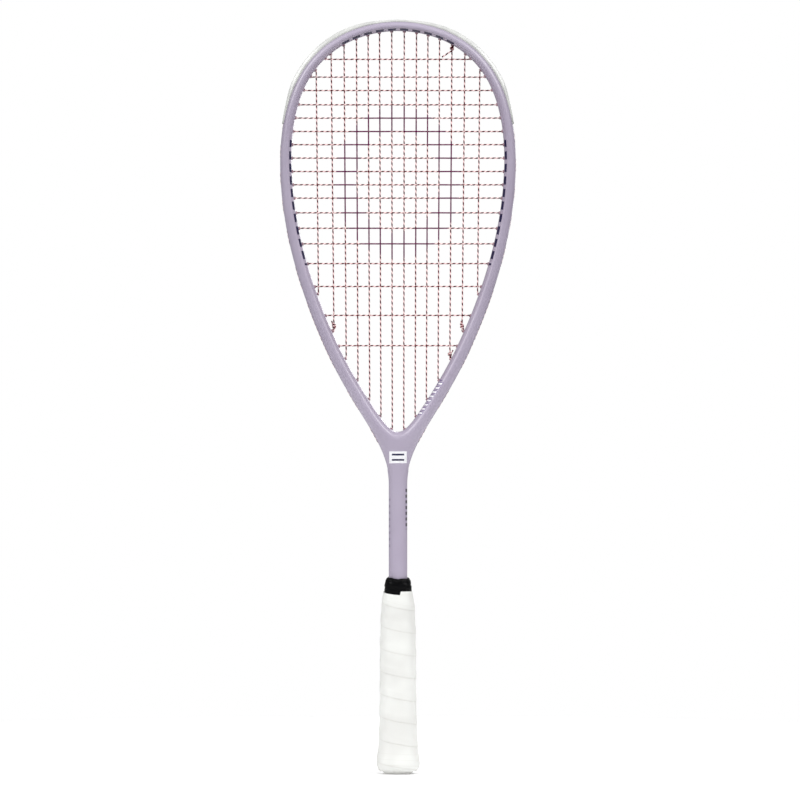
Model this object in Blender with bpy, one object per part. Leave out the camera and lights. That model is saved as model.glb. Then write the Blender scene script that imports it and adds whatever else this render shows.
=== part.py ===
"""Squash racket with a teardrop head, built from its separate pieces.

The racket stands upright: the butt is on z = 0, +Z runs to the tip of the head and the string
bed lies in the XZ plane, with its front facing -Y.  Lengths are in millimetres until a mesh is
made, where they are turned into metres.
"""
import math

import bmesh
import bpy

MM = 0.001

# ---- driving dimensions (mm) ------------------------------------------------------------
GAP = 0.3                      # clearance between pieces that rest on each other
WALL = 1.2                     # carbon wall of the frame
HEAD_TOP = 684.0               # outer face of the frame at the tip of the head
HALF_WIDTH = 107.5             # widest half width of the frame
WIDEST_Z = 554.9               # height of the widest place
SHAFT_HALF_WIDTH = 8.4
SHAFT_HALF_DEPTH = 9.6
ARM_HALF_DEPTH = 10.0
HEAD_HALF_DEPTH = 9.25
FRAME_FOOT = 5.6               # the frame tube ends here, inside the butt cap

# Outer outline of the right half, as Bezier knots: x, z, heading in degrees, handles before, after
OUTER_KNOTS = (
    (0.0, HEAD_TOP, 0.0, 0.0, 28.7),
    (HALF_WIDTH, WIDEST_Z, -90.0, 117.9, 72.1),
    (69.8, 394.1, -113.1, 24.8, 74.0),
    (SHAFT_HALF_WIDTH, 262.6, -90.0, 39.5, 0.0),
)
# Width of the hoop tube in the plane of the strings, at places on the outline
TUBE_WIDTHS = ((0.0, 8.6), (0.7, 9.3), (1.05, 11.1), (2.0, 12.2), (3.0, 13.5))
# Hoop section from the middle of its inner face: shares of its width and of its half depth
HOOP_OVAL = ((0.0, 0.0), (0.035, 0.30), (0.17, 0.72), (0.48, 1.0), (0.80, 0.80))
LIP_SHARE = 0.985              # the channel's lips lie at this share of the width
CROTCH_Z = 309.6               # bottom of the string bed's opening
CROTCH_SWELL = 7.2             # extra width where the two arms run together
CROTCH_RATE = 11.0             # how quickly that width comes in
CROTCH_SHARE = 0.657           # share of the last outer span that faces the string bed
SADDLE_DROP = 8.5              # the rounded saddle between the arms is this deep
# Saddle from its edge to its ridge: shares of its depth and of the half depth of the frame
SADDLE_CURVE = ((0.0, 0.0), (0.08, 0.34), (0.35, 0.72), (1.0, 1.0))
# Half of the shaft's oval: shares of its half width and of its half depth
HALF_OVAL = ((0.0, 1.0), (0.52, 0.90), (0.87, 0.62), (0.975, 0.34), (1.0, 0.0))
SHAFT_STATIONS = (230.0, 200.0, 160.0)
HEAD_STATIONS = 14
SIDE_STATIONS = 6
ARM_STATIONS = 6
THROAT_STATIONS = 5
HOOP_END = 2.999               # last place on the hoop where a string hole is looked for
HALVINGS = 40
SHARP_ANGLE = 40.0             # edges sharper than this, in degrees, are shaded as edges

# Channel in the outer face of the hoop, which holds the grommets and the string loops
CHANNEL_DEPTH = 2.9
CHANNEL_HALF_WIDTH = 3.5
CHANNEL_LIP_HALF_WIDTH = 3.9
CHANNEL_END_Z = 288.0          # the channel runs out below this height
CHANNEL_FADE = 14.0

# Strings
STRING_RADIUS = 0.625
MAIN_PLANE_Y = 0.8             # mains lie behind the middle plane, crosses in front of it
CROSS_PLANE_Y = -0.8
MAIN_TOP_X = (5.7, 16.8, 27.2, 37.8, 49.1, 60.9, 74.7)
MAIN_BOTTOM_X = (5.3, 15.7, 25.9, 36.5, 47.1, 58.7, 71.7)
MAIN_TOP_Z = 664.0             # heights at which the two lists above hold
MAIN_BOTTOM_Z = 370.0
CROSS_Z = (649.6, 633.4, 621.2, 608.2, 596.1, 583.9, 571.9, 559.7, 547.5,
           535.4, 523.3, 509.9, 495.9, 481.7, 463.7, 442.9, 416.6, 389.0)
STRING_HEIGHT = 2.2            # string centre above the channel floor, where it runs outside
BEND_RADIUS = 1.2
BEND_STEPS = 2
TIE_MAIN = 5                   # main (counted from 0) whose holes also take a tied-off string
TIE_CROSS_TOP = 4
TIE_CROSS_BOTTOM = 4
TIE_SHIFT = 1.0                # half the spacing of two strings that share one hole
KNOT_RADIUS = 1.15
KNOT_LEAN = 0.12               # sideways lean of a tied-off end
KNOT_REACHES = (5.2, 4.6, 2.4, 1.6)    # a knot's loops, measured from the mouth of its hole
KNOT_TIP_SHARE = 0.6
CLEAR_CORNER = 35.0            # corners of a string sharper than this, in degrees, are rounded
RIM_STEPS = 18                 # points per whole place where a string runs outside
KNOT_SHIFT = 1.0               # knots sit this far off the plane of their string

# Grommets
BAND_HALF_WIDTH = 3.1
BAND_THICKNESS = 0.8
BARREL_RADIUS = 1.6
BORE_RADIUS = 1.05
HOLE_RADIUS = 1.9
HOLE_LEAN = 0.4                # how far a hole leans from square to the tube towards its string
HOLE_REACH = (-2.0, 4.5)       # cutters start this far inside the mouth and end this far outside
BORE_REACH = (-1.0, 3.5)
EXIT_SEARCH_BACK = 0.45        # stretch of the outline where the exit of a hole is looked for
EXIT_SEARCH_ON = 0.75
EXIT_SEARCH_END = 3.95
TIE_EXTRA = 1.0                # how much wider the shared holes are
BARREL_PROUD = 1.0             # barrels stand out this far into the string bed
MOUTH = BARREL_PROUD + GAP     # strings bend this far inside the hoop's inner face
HOLE_SIDES = 6
TUBE_SIDES = 5
BUMPER_END = 0.887             # places on the outline where the bumper and the strips end
SIDE_STRIP = (0.891, 2.14)
THROAT_STRIP = (2.148, 3.22)
BUMPER_PROUD_TIP = 1.4
BUMPER_PROUD_SHOULDER = 3.4
BUMPER_RISE = (0.05, 0.45)     # it thickens between these places
BUMPER_FADE = 0.72             # and thins again from this one
BUMPER_END_SHARE = 0.6
BUMPER_SKIRT_DROP = 0.105      # share of the tube's width by which it wraps over the lips
BUMPER_SKIRT_HALF_WIDTH = 6.1
BUMPER_FACE_HALF_WIDTH = 4.6
BUMPER_GROOVE = (2.3, 2.1)     # half widths of its groove, at the top and at the floor
LIP_CLEARANCE = 0.35
SKIRT_CLEARANCE = 0.55
SKIRT_SHARE = 0.45

# Handle, as outer half widths of the overgrip at heights above the butt face
GRIP_PROFILE = ((2.2, 17.2), (5.0, 19.2), (9.0, 20.0), (14.0, 19.6), (20.0, 18.6), (30.0, 17.7),
                (66.0, 16.8), (121.0, 16.5), (140.0, 15.9), (165.0, 14.6), (172.0, 12.0),
                (178.0, 9.9))
DEPTH_LESS = 2.8               # the handle is this much less deep than wide, on each side
DEPTH_LESS_PROFILE = ((140.0, DEPTH_LESS), (178.0, 0.0))    # and this runs out towards the shaft
OVERGRIP = 1.2                 # thicknesses of the layers of the handle
BASE_GRIP = 1.6
TAPE = 0.6
TAPE_SETBACK = 0.2             # the bare tape lies this much inside the profile
CAP_WALL = 2.2
CAP_FLOOR = 5.0
CAP_TOP = 14.0
BUTT_HALF_WIDTH = 13.0
OVERGRIP_TOP = 165.5
BASE_GRIP_TOP = 156.0
TAPE_BOTTOM = 149.0
TAPE_TOP = 178.0
PALLET_TOP = 168.0
HANDLE_SHAFT_HALF_DEPTH = 8.3
GRIP_SIDES = 16                # sides of the handle's layers, as many as the shaft's oval has
CAP_INSET = OVERGRIP + BASE_GRIP + 2 * GAP    # cap and foam lie this deep below the surface
SQUARENESS = 2.9               # exponent of the handle's rounded rectangle


# ---- meshes, materials and modifiers ------------------------------------------------------
def clear_scene():
    for item in list(bpy.data.objects):
        bpy.data.objects.remove(item, do_unlink=True)


def plain_material(name, colour, roughness):
    material = bpy.data.materials.new(name)
    material.use_nodes = True
    shader = material.node_tree.nodes["Principled BSDF"]
    shader.inputs["Base Color"].default_value = (*colour, 1.0)
    shader.inputs["Roughness"].default_value = roughness
    return material


def add_piece(name, points, faces, material=None, parent=None):
    """Make an object from points in millimetres, with its faces turned outwards."""
    mesh = bpy.data.meshes.new(name)
    mesh.from_pydata([(x * MM, y * MM, z * MM) for x, y, z in points], [], faces)
    shell = bmesh.new()
    shell.from_mesh(mesh)
    bmesh.ops.recalc_face_normals(shell, faces=shell.faces)
    shell.to_mesh(mesh)
    shell.free()
    piece = bpy.data.objects.new(name, mesh)
    bpy.context.scene.collection.objects.link(piece)
    if material:
        mesh.materials.append(material)
        mesh.shade_smooth()
        mesh.set_sharp_from_angle(angle=math.radians(SHARP_ANGLE))
    if parent:
        piece.parent = parent
    return piece


def add_tool(name, points, faces):
    """Make a shape that only joins to or cuts another one."""
    tool = add_piece(name, points, faces)
    tool.hide_render = True
    tool.display_type = "WIRE"
    return tool


def add_boolean(piece, tool, operation):
    modifier = piece.modifiers.new(tool.name, "BOOLEAN")
    modifier.solver = "EXACT"
    modifier.operation = operation
    modifier.object = tool


def skin_loops(loops, cyclic=False, caps=True):
    """Skin a run of equal closed loops, and cap or join its two ends."""
    size = len(loops[0])
    points = [point for loop in loops for point in loop]
    faces = []
    spans = len(loops) if cyclic else len(loops) - 1
    for row in range(spans):
        low = row * size
        high = ((row + 1) % len(loops)) * size
        for k in range(size):
            n = (k + 1) % size
            faces.append((low + k, low + n, high + n, high + k))
    if caps and not cyclic:
        faces.append(tuple(range(size)))
        faces.append(tuple(range(len(points) - size, len(points))))
    return points, faces


def merge_shells(shells):
    """Join several point and face lists into one."""
    points = []
    faces = []
    for shell_points, shell_faces in shells:
        start = len(points)
        points.extend(shell_points)
        faces.extend(tuple(start + k for k in face) for face in shell_faces)
    return points, faces


# ---- outlines ---------------------------------------------------------------------------
def lerp(a, b, share):
    return a + (b - a) * share


def smooth_step(low, high, value):
    share = min(max((value - low) / (high - low), 0.0), 1.0)
    return share * share * (3 - 2 * share)


def knot_point(knots, place):
    """Point of a knotted outline: the whole part of place is the span, the rest the share of it."""
    span = min(int(place), len(knots) - 2)
    share = place - span
    ax, az, a_heading, _, a_handle = knots[span]
    bx, bz, b_heading, b_handle, _ = knots[span + 1]
    a_turn = math.radians(a_heading)
    b_turn = math.radians(b_heading)
    xs = (ax, ax + a_handle * math.cos(a_turn), bx - b_handle * math.cos(b_turn), bx)
    zs = (az, az + a_handle * math.sin(a_turn), bz - b_handle * math.sin(b_turn), bz)
    rest = 1 - share
    weights = (rest ** 3, 3 * rest ** 2 * share, 3 * rest * share ** 2, share ** 3)
    return (sum(w * x for w, x in zip(weights, xs)), sum(w * z for w, z in zip(weights, zs)))


def outer_point(place):
    """Outer outline.  place runs 0 to 3 round the hoop and 3 to 4 down the throat."""
    if place <= 2:
        return knot_point(OUTER_KNOTS, place)
    if place <= 3:
        return knot_point(OUTER_KNOTS, 2 + (place - 2) * CROTCH_SHARE)
    return knot_point(OUTER_KNOTS, 2 + lerp(CROTCH_SHARE, 1.0, place - 3))


def table_value(table, at):
    """Value read from a list of (position, value) pairs, straight between them."""
    for (a, value_a), (b, value_b) in zip(table, table[1:]):
        if at <= b:
            return lerp(value_a, value_b, max(at - a, 0.0) / (b - a))
    return table[-1][1]


def tube_width(place):
    return table_value(TUBE_WIDTHS, place) + CROTCH_SWELL * math.exp((place - 3) * CROTCH_RATE)


def across(place):
    """Inner point, unit vector square to the outline towards its outer point, and the width."""
    ox, oz = outer_point(place)
    if place > 3:
        low = outer_point(4)[1]
        iz = lerp(low, CROTCH_Z, min(max((oz - low) / (outer_point(3)[1] - low), 0.0), 1.0))
        width = math.hypot(ox, oz - iz)
        return (0.0, iz), (ox / width, (oz - iz) / width), width
    step = 0.002
    ax, az = outer_point(max(place - step, 0.0))
    bx, bz = outer_point(place + step)
    length = math.hypot(bx - ax, bz - az)
    ux, uz = (az - bz) / length, (bx - ax) / length
    width = tube_width(place)
    ix = max(ox - ux * width, 0.0)
    return (ix, oz - uz * width), (ux, uz), width


def channel_depth(place):
    z = outer_point(place)[1]
    return CHANNEL_DEPTH * smooth_step(CHANNEL_END_Z - CHANNEL_FADE, CHANNEL_END_Z, z)


def rim_point(place, height):
    """Point at a height above the channel floor, in the plane of the strings."""
    (ix, iz), (ux, uz), width = across(place)
    reach = width - channel_depth(place) + height
    return (ix + ux * reach, iz + uz * reach)


def mouth_point(place):
    (ix, iz), (ux, uz), _ = across(place)
    return (ix - ux * MOUTH, iz - uz * MOUTH)


def half_depth(place):
    if place <= 2:
        return lerp(HEAD_HALF_DEPTH, ARM_HALF_DEPTH, smooth_step(0.5, 2.0, place))
    return lerp(ARM_HALF_DEPTH, SHAFT_HALF_DEPTH, smooth_step(3.0, 4.0, place))


def shaft_half_depth(z):
    return table_value(((160.0, HANDLE_SHAFT_HALF_DEPTH), (200.0, SHAFT_HALF_DEPTH)), z)


# ---- frame ------------------------------------------------------------------------------
def hoop_section(place):
    """Closed section of the hoop tube, from the middle of its inner face round the back."""
    (ix, iz), (ux, uz), width = across(place)
    depth = half_depth(place)
    channel = channel_depth(place)
    half = [(share * width, part * depth) for share, part in HOOP_OVAL]
    half.append((width * LIP_SHARE, CHANNEL_LIP_HALF_WIDTH))
    half.append((width - channel, CHANNEL_HALF_WIDTH))
    half.append((width - channel, 0.0))
    ring = half + [(a, -y) for a, y in reversed(half[1:-1])]
    return [(ix + ux * a, y, iz + uz * a) for a, y in ring]


def crotch_section():
    """Section where both arms meet: its inner points make half of the rounded saddle."""
    ring = hoop_section(3.0)
    depth = half_depth(3.0)
    for k, (drop, share) in enumerate(SADDLE_CURVE):
        z = CROTCH_Z - drop * SADDLE_DROP
        ring[k] = (0.0, share * depth, z)
        ring[-k] = (0.0, -share * depth, z)
    return ring


def throat_section(place, z_middle):
    """Open half section below the crotch, from the middle of the back to the middle of the front."""
    ox, oz = outer_point(place)
    depth = half_depth(place)
    channel = channel_depth(place)
    cut = channel / CHANNEL_DEPTH
    _, (ux, uz), _ = across(place)
    sides = [(share * ox, part * depth, lerp(z_middle, oz, share)) for share, part in HALF_OVAL]
    lip_x, lip_y, lip_z = sides[2]
    sides[2] = (lerp(lip_x, ox * LIP_SHARE, cut), lerp(lip_y, CHANNEL_LIP_HALF_WIDTH, cut), lip_z)
    floor_y = lerp(sides[3][1], CHANNEL_HALF_WIDTH, cut)
    sides[3] = (sides[3][0] - ux * channel, floor_y, oz - uz * channel)
    sides[4] = (ox - ux * channel, 0.0, oz - uz * channel)
    return sides + [(x, -y, z) for x, y, z in reversed(sides[:-1])]


def shaft_section(z):
    """Open half section of the shaft."""
    depth = shaft_half_depth(z)
    sides = [(share * SHAFT_HALF_WIDTH, part * depth, z) for share, part in HALF_OVAL]
    return sides + [(x, -y, z) for x, y, z in reversed(sides[:-1])]


def hoop_places():
    """Places of the hoop's and the throat's sections, which the grommets share."""
    places = [k / HEAD_STATIONS for k in range(HEAD_STATIONS)]
    places += [1 + k / SIDE_STATIONS for k in range(SIDE_STATIONS)]
    places += [2 + k / ARM_STATIONS for k in range(ARM_STATIONS)]
    return places + [3 + k / THROAT_STATIONS for k in range(THROAT_STATIONS)]


def frame_shell():
    """Right half of the frame's outer surface, open at the middle plane and at the foot."""
    rings = [hoop_section(place) for place in hoop_places() if place < 3] + [crotch_section()]
    rings[0] = [(0.0, y, z) for _, y, z in rings[0]]
    points, faces = skin_loops(rings, caps=False)
    size = len(rings[0])
    crotch = len(points) - size
    row = [crotch + k for k in range(3, size - 2)]
    for k in range(1, THROAT_STATIONS + 1):
        share = k / THROAT_STATIONS
        place = 3 + share
        z_middle = lerp(CROTCH_Z - SADDLE_DROP, outer_point(4)[1], share)
        row = add_row(row, points, faces, throat_section(place, z_middle))
    for z in SHAFT_STATIONS + (FRAME_FOOT,):
        row = add_row(row, points, faces, shaft_section(z))
    return points, faces


def add_row(row, points, faces, section):
    """Join an open row of points to a new one, and return the new row."""
    start = len(points)
    points.extend(section)
    new_row = list(range(start, start + len(section)))
    for a in range(len(row) - 1):
        faces.append((row[a], row[a + 1], new_row[a + 1], new_row[a]))
    return new_row


# ---- string holes -----------------------------------------------------------------------
def main_x(number, z):
    share = (z - MAIN_BOTTOM_Z) / (MAIN_TOP_Z - MAIN_BOTTOM_Z)
    return lerp(MAIN_BOTTOM_X[number], MAIN_TOP_X[number], share)


def find_place(low, high, side_of):
    """Place between low and high where side_of(place) changes sign, found by halving."""
    sign = side_of(low) > 0
    for _ in range(HALVINGS):
        middle = (low + high) / 2
        if (side_of(middle) > 0) == sign:
            low = middle
        else:
            high = middle
    return low


class StringHole:
    """A hole for a string: where it opens into the hoop, where it leaves, and its direction.

    shared is "" for one string, "deep" for two strings in the two string planes, and "wide" for
    two strings side by side in one plane.
    """

    def __init__(self, place, string_way, plane_y, shared=""):
        self.mouth = mouth_point(place)
        _, (ux, uz), _ = across(place)
        dx = ux + string_way[0] * HOLE_LEAN
        dz = uz + string_way[1] * HOLE_LEAN
        length = math.hypot(dx, dz)
        self.way = (dx / length, dz / length)
        self.plane_y = plane_y
        self.shared = shared
        self.exit_place = self.find_exit(place)

    def find_exit(self, place):
        """Place on the rim where a straight line along the hole comes out."""
        def side(at):
            x, z = rim_point(at, STRING_HEIGHT)
            return (x - self.mouth[0]) * self.way[1] - (z - self.mouth[1]) * self.way[0]
        low = max(place - EXIT_SEARCH_BACK, 0.0)
        return find_place(low, min(place + EXIT_SEARCH_ON, EXIT_SEARCH_END), side)

    def exit_point(self, height=STRING_HEIGHT):
        """Point on the hole's line, at a height above the channel floor."""
        x, z = rim_point(self.exit_place, height)
        reach = (x - self.mouth[0]) * self.way[0] + (z - self.mouth[1]) * self.way[1]
        return (self.mouth[0] + self.way[0] * reach, self.mouth[1] + self.way[1] * reach)

    def along(self, point, distance, sideways=0.0):
        x, z = point
        wx, wz = self.way
        return (x + wx * distance - wz * sideways, z + wz * distance + wx * sideways)


def main_holes():
    """Head and throat holes of the seven mains on the right half."""
    heads = []
    feet = []
    for number in range(len(MAIN_TOP_X)):
        def beside(place, number=number):
            x, z = mouth_point(place)
            return x - main_x(number, z)
        top = find_place(0.0, 1.0, beside)
        foot = find_place(1.0, HOOP_END, beside)
        top_share = "deep" if number == TIE_CROSS_TOP else ""
        foot_share = {TIE_MAIN: "wide", TIE_CROSS_BOTTOM: "deep"}.get(number, "")
        heads.append(StringHole(top, (0.0, 1.0), MAIN_PLANE_Y, top_share))
        feet.append(StringHole(foot, (0.0, -1.0), MAIN_PLANE_Y, foot_share))
    return heads, feet


def cross_holes():
    """Holes of the crosses on the right half."""
    holes = []
    for level in CROSS_Z:
        def above(place, level=level):
            return mouth_point(place)[1] - level
        holes.append(StringHole(find_place(0.0, HOOP_END, above), (1.0, 0.0), CROSS_PLANE_Y))
    return holes


def prism(start, end, plane_y, radius_flat, radius_y):
    """Closed rod between two points of a plane parallel to the string bed."""
    dx = end[0] - start[0]
    dz = end[1] - start[1]
    length = math.hypot(dx, dz)
    nx, nz = dz / length, -dx / length
    loops = []
    for x, z in (start, end):
        loop = []
        for k in range(HOLE_SIDES):
            turn = 2 * math.pi * (k + 0.5) / HOLE_SIDES
            flat = radius_flat * math.cos(turn)
            loop.append((x + nx * flat, plane_y + radius_y * math.sin(turn), z + nz * flat))
        loops.append(loop)
    return skin_loops(loops)


def hole_rod(hole, radius, inner_reach, outer_height):
    """Rod along a string hole, wider where two strings share the hole."""
    start = hole.along(hole.mouth, inner_reach)
    end = hole.exit_point(outer_height)
    flat = radius
    deep = radius
    plane_y = hole.plane_y
    if hole.shared == "wide":
        flat = radius + TIE_EXTRA
    elif hole.shared == "deep":
        deep = radius + TIE_EXTRA
        plane_y = 0.0
    return prism(start, end, plane_y, flat, deep)


def mirror_shell(shell):
    points, faces = shell
    return [(-x, y, z) for x, y, z in points], [tuple(reversed(face)) for face in faces]


# ---- grommets and bumper ----------------------------------------------------------------
def rim_loop(place, section, side=1):
    """Closed loop of a section, a function of place that gives (height, y) pairs, on the rim."""
    loop = []
    for height, y in section(place):
        x, z = rim_point(place, height)
        loop.append((side * x, y, z))
    return loop


def band_section(_):
    low = GAP
    high = GAP + BAND_THICKNESS
    return ((low, -BAND_HALF_WIDTH), (high, -BAND_HALF_WIDTH),
            (high, BAND_HALF_WIDTH), (low, BAND_HALF_WIDTH))


def bumper_proud(place):
    """How far the bumper stands out: thin at the tip, thick at the shoulders, thin at its ends."""
    shoulder = smooth_step(*BUMPER_RISE, place)
    fade = 1 - smooth_step(BUMPER_FADE, BUMPER_END, place)
    proud = lerp(BUMPER_PROUD_TIP, BUMPER_PROUD_SHOULDER, shoulder * fade)
    return proud * lerp(BUMPER_END_SHARE, 1.0, fade)


def bumper_section(place):
    """U section that lines the channel and wraps over both of its lips."""
    proud = bumper_proud(place)
    depth = channel_depth(place)
    skirt = depth - tube_width(place) * BUMPER_SKIRT_DROP + SKIRT_CLEARANCE
    groove_top, groove_floor = BUMPER_GROOVE
    half = [(GAP, BAND_HALF_WIDTH), (depth + LIP_CLEARANCE, BAND_HALF_WIDTH + 0.1),
            (skirt, BUMPER_SKIRT_HALF_WIDTH),
            (depth + proud * SKIRT_SHARE, BUMPER_SKIRT_HALF_WIDTH),
            (depth + proud, BUMPER_FACE_HALF_WIDTH), (depth + proud, groove_top),
            (GAP + BAND_THICKNESS, groove_floor)]
    return half + [(h, -y) for h, y in reversed(half)]


def barrels(holes, radius, inner_reach, outer_height):
    return [hole_rod(hole, radius, inner_reach, outer_height) for hole in holes]


def add_grommets(piece, tubes, bores):
    """Join a barrel to a band on each string hole, and bore each barrel through."""
    add_boolean(piece, add_tool(piece.name + "_tubes", *merge_shells(tubes)), "UNION")
    add_boolean(piece, add_tool(piece.name + "_bores", *merge_shells(bores)), "DIFFERENCE")


def holes_between(holes, low, high):
    return [hole for hole in holes if low < hole.exit_place < high]


def places_between(low, high):
    return [low] + [place for place in hoop_places() if low < place < high] + [high]


def strip_shells(holes, low, high):
    """Band, barrels and bores of a grommet strip on the right half."""
    loops = [rim_loop(place, band_section) for place in places_between(low, high)]
    inside = holes_between(holes, low, high)
    tubes = barrels(inside, BARREL_RADIUS, GAP, GAP + BAND_THICKNESS * 0.5)
    bores = barrels(inside, BORE_RADIUS, *BORE_REACH)
    return skin_loops(loops), tubes, bores


def add_strips(name, holes, span, material, parent):
    """Left and right strip."""
    band, tubes, bores = strip_shells(holes, *span)
    add_grommets(add_piece(name + "_right", *band, material, parent), tubes, bores)
    left = add_piece(name + "_left", *mirror_shell(band), material, parent)
    add_grommets(left, [mirror_shell(t) for t in tubes], [mirror_shell(b) for b in bores])


def add_bumper(holes, material, parent):
    """Bumper guard over the head, in one piece with the head's grommets."""
    places = places_between(0.0, BUMPER_END)[1:]
    loops = [rim_loop(place, bumper_section, -1) for place in reversed(places)]
    loops += [rim_loop(place, bumper_section) for place in [0.0] + places]
    bumper = add_piece("bumper_guard", *skin_loops(loops), material, parent)
    inside = holes_between(holes, 0.0, BUMPER_END)
    tubes = barrels(inside, BARREL_RADIUS, GAP, GAP + BAND_THICKNESS * 0.5)
    bores = barrels(inside, BORE_RADIUS, *BORE_REACH)
    tubes += [mirror_shell(t) for t in tubes]
    bores += [mirror_shell(b) for b in bores]
    add_grommets(bumper, tubes, bores)


# ---- strings ----------------------------------------------------------------------------
def rounded_path(points):
    """Replace each clear corner of a flat path with a short arc."""
    path = [points[0]]
    for before, corner, after in zip(points, points[1:], points[2:]):
        ax, az = before[0] - corner[0], before[1] - corner[1]
        bx, bz = after[0] - corner[0], after[1] - corner[1]
        a_len, b_len = math.hypot(ax, az), math.hypot(bx, bz)
        ax, az, bx, bz = ax / a_len, az / a_len, bx / b_len, bz / b_len
        turn = math.pi - math.acos(min(max(ax * bx + az * bz, -1.0), 1.0))
        if turn < math.radians(CLEAR_CORNER):
            path.append(corner)
            continue
        reach = min(BEND_RADIUS * math.tan(turn / 2), a_len * 0.45, b_len * 0.45)
        start = (corner[0] + ax * reach, corner[1] + az * reach)
        end = (corner[0] + bx * reach, corner[1] + bz * reach)
        for k in range(BEND_STEPS + 1):
            t = k / BEND_STEPS
            u = 1 - t
            path.append((u * u * start[0] + 2 * u * t * corner[0] + t * t * end[0],
                         u * u * start[1] + 2 * u * t * corner[1] + t * t * end[1]))
    path.append(points[-1])
    return path


def flat_tube(path, levels, radii):
    """Round tube along a path in a plane parallel to the string bed, or nearly so."""
    loops = []
    last = len(path) - 1
    for k, (x, z) in enumerate(path):
        before = path[max(k - 1, 0)]
        after = path[min(k + 1, last)]
        ax, az = x - before[0], z - before[1]
        bx, bz = after[0] - x, after[1] - z
        if k == 0:
            ax, az = bx, bz
        if k == last:
            bx, bz = ax, az
        a_len, b_len = math.hypot(ax, az), math.hypot(bx, bz)
        tx, tz = ax / a_len + bx / b_len, az / a_len + bz / b_len
        t_len = math.hypot(tx, tz)
        nx, nz = tz / t_len, -tx / t_len
        mitre = 2 / t_len
        loop = []
        for j in range(TUBE_SIDES):
            turn = 2 * math.pi * j / TUBE_SIDES
            flat = radii[k] * math.cos(turn) * mitre
            loop.append((x + nx * flat, levels[k] + radii[k] * math.sin(turn), z + nz * flat))
        loops.append(loop)
    return skin_loops(loops)


def rim_run(start, end):
    """Points of a string that runs outside, between two exit places."""
    steps = 1 + round(abs(end - start) * RIM_STEPS)
    return [rim_point(lerp(start, end, k / steps), STRING_HEIGHT) for k in range(1, steps)]


def knot_end(hole, sideways, way_z):
    """Inner end of a tied-off string, which runs beside a main, from its tip to the hole."""
    x, z = hole.along(hole.mouth, 0.0, sideways)
    ends = [(x + KNOT_LEAN * reach, z + way_z * reach) for reach in KNOT_REACHES]
    return ends + [(x, z)]


def main_path(heads, feet):
    """Right half of the main string, from its tied-off end to the middle of the head."""
    tie = feet[TIE_MAIN]
    last = len(feet) - 1
    path = knot_end(tie, TIE_SHIFT, 1)
    path.append(tie.along(tie.exit_point(), 0.0, TIE_SHIFT))
    path += rim_run(tie.exit_place, feet[last].exit_place)
    path += [feet[last].exit_point(), feet[last].mouth]
    upward = True
    for number in range(last, -1, -1):
        shift = -TIE_SHIFT if number == TIE_MAIN else 0.0
        arrive, leave = (heads, feet) if upward else (feet, heads)
        if number != last:
            start = leave[number]
            path += rim_run(leave[number + 1].exit_place, start.exit_place)
            use = shift if leave is feet else 0.0
            path += [start.along(start.exit_point(), 0.0, use), start.along(start.mouth, 0.0, use)]
        goal = arrive[number]
        use = shift if arrive is feet else 0.0
        path += [goal.along(goal.mouth, 0.0, use), goal.along(goal.exit_point(), 0.0, use)]
        upward = not upward
    return path


def cross_path(holes, heads, feet):
    """The whole cross string, from its knot at a head hole to its knot at a throat hole."""
    first = heads[TIE_CROSS_TOP]
    path = knot_end(first, 0.0, -1) + [first.exit_point()]
    path += rim_run(first.exit_place, holes[0].exit_place)
    side = 1
    for number, hole in enumerate(holes):
        if number:
            run = rim_run(holes[number - 1].exit_place, hole.exit_place)
            path += [(side * x, z) for x, z in run]
        for x, z in (hole.exit_point(), hole.mouth):
            path.append((side * x, z))
        side = -side
        for x, z in (hole.mouth, hole.exit_point()):
            path.append((side * x, z))
    final = feet[TIE_CROSS_BOTTOM]
    path += rim_run(holes[-1].exit_place, final.exit_place)
    path += [final.exit_point()] + list(reversed(knot_end(final, 0.0, 1)))
    return path


def string_mesh(path, plane_y, knot_way):
    """Tube along a whole string, thickened and set aside at its two knots."""
    radii = [STRING_RADIUS] * len(path)
    levels = [plane_y] * len(path)
    for k, radius in enumerate((KNOT_RADIUS * KNOT_TIP_SHARE, KNOT_RADIUS, KNOT_RADIUS)):
        for at in (k, -1 - k):
            radii[at] = radius
            levels[at] = plane_y + knot_way * KNOT_SHIFT
    return flat_tube(path, levels, radii)


# ---- handle -----------------------------------------------------------------------------
def grip_loop(z, half_width, half_depth_here):
    """Rounded rectangle at a height."""
    loop = []
    for k in range(GRIP_SIDES):
        turn = 2 * math.pi * k / GRIP_SIDES
        c, s = math.cos(turn), math.sin(turn)
        x = math.copysign(abs(c) ** (2 / SQUARENESS), c) * half_width
        y = math.copysign(abs(s) ** (2 / SQUARENESS), s) * half_depth_here
        loop.append((x, y, z))
    return loop


def layer_loop(z, inset):
    """Loop of one layer of the handle, at a depth below the finished surface."""
    half = table_value(GRIP_PROFILE, z) - inset
    return grip_loop(z, half, half - table_value(DEPTH_LESS_PROFILE, z))


def heights_between(low, high):
    """The ends of a stretch of the handle and the heights of its profile between them."""
    return [low] + [z for z, _ in GRIP_PROFILE if low < z < high] + [high]


def layer_loops(low, high, inset):
    return [layer_loop(z, inset) for z in heights_between(low, high)]


def shaft_loop(z, clearance):
    """Oval round the shaft, from the right-hand side by way of the back."""
    wide = SHAFT_HALF_WIDTH + clearance
    deep = shaft_half_depth(z) + clearance
    quarter = [(share * wide, part * deep) for share, part in reversed(HALF_OVAL)]
    half = quarter + [(-x, y) for x, y in reversed(quarter[:-1])]
    return [(x, y, z) for x, y in half + [(x, -y) for x, y in reversed(half[1:-1])]]


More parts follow.
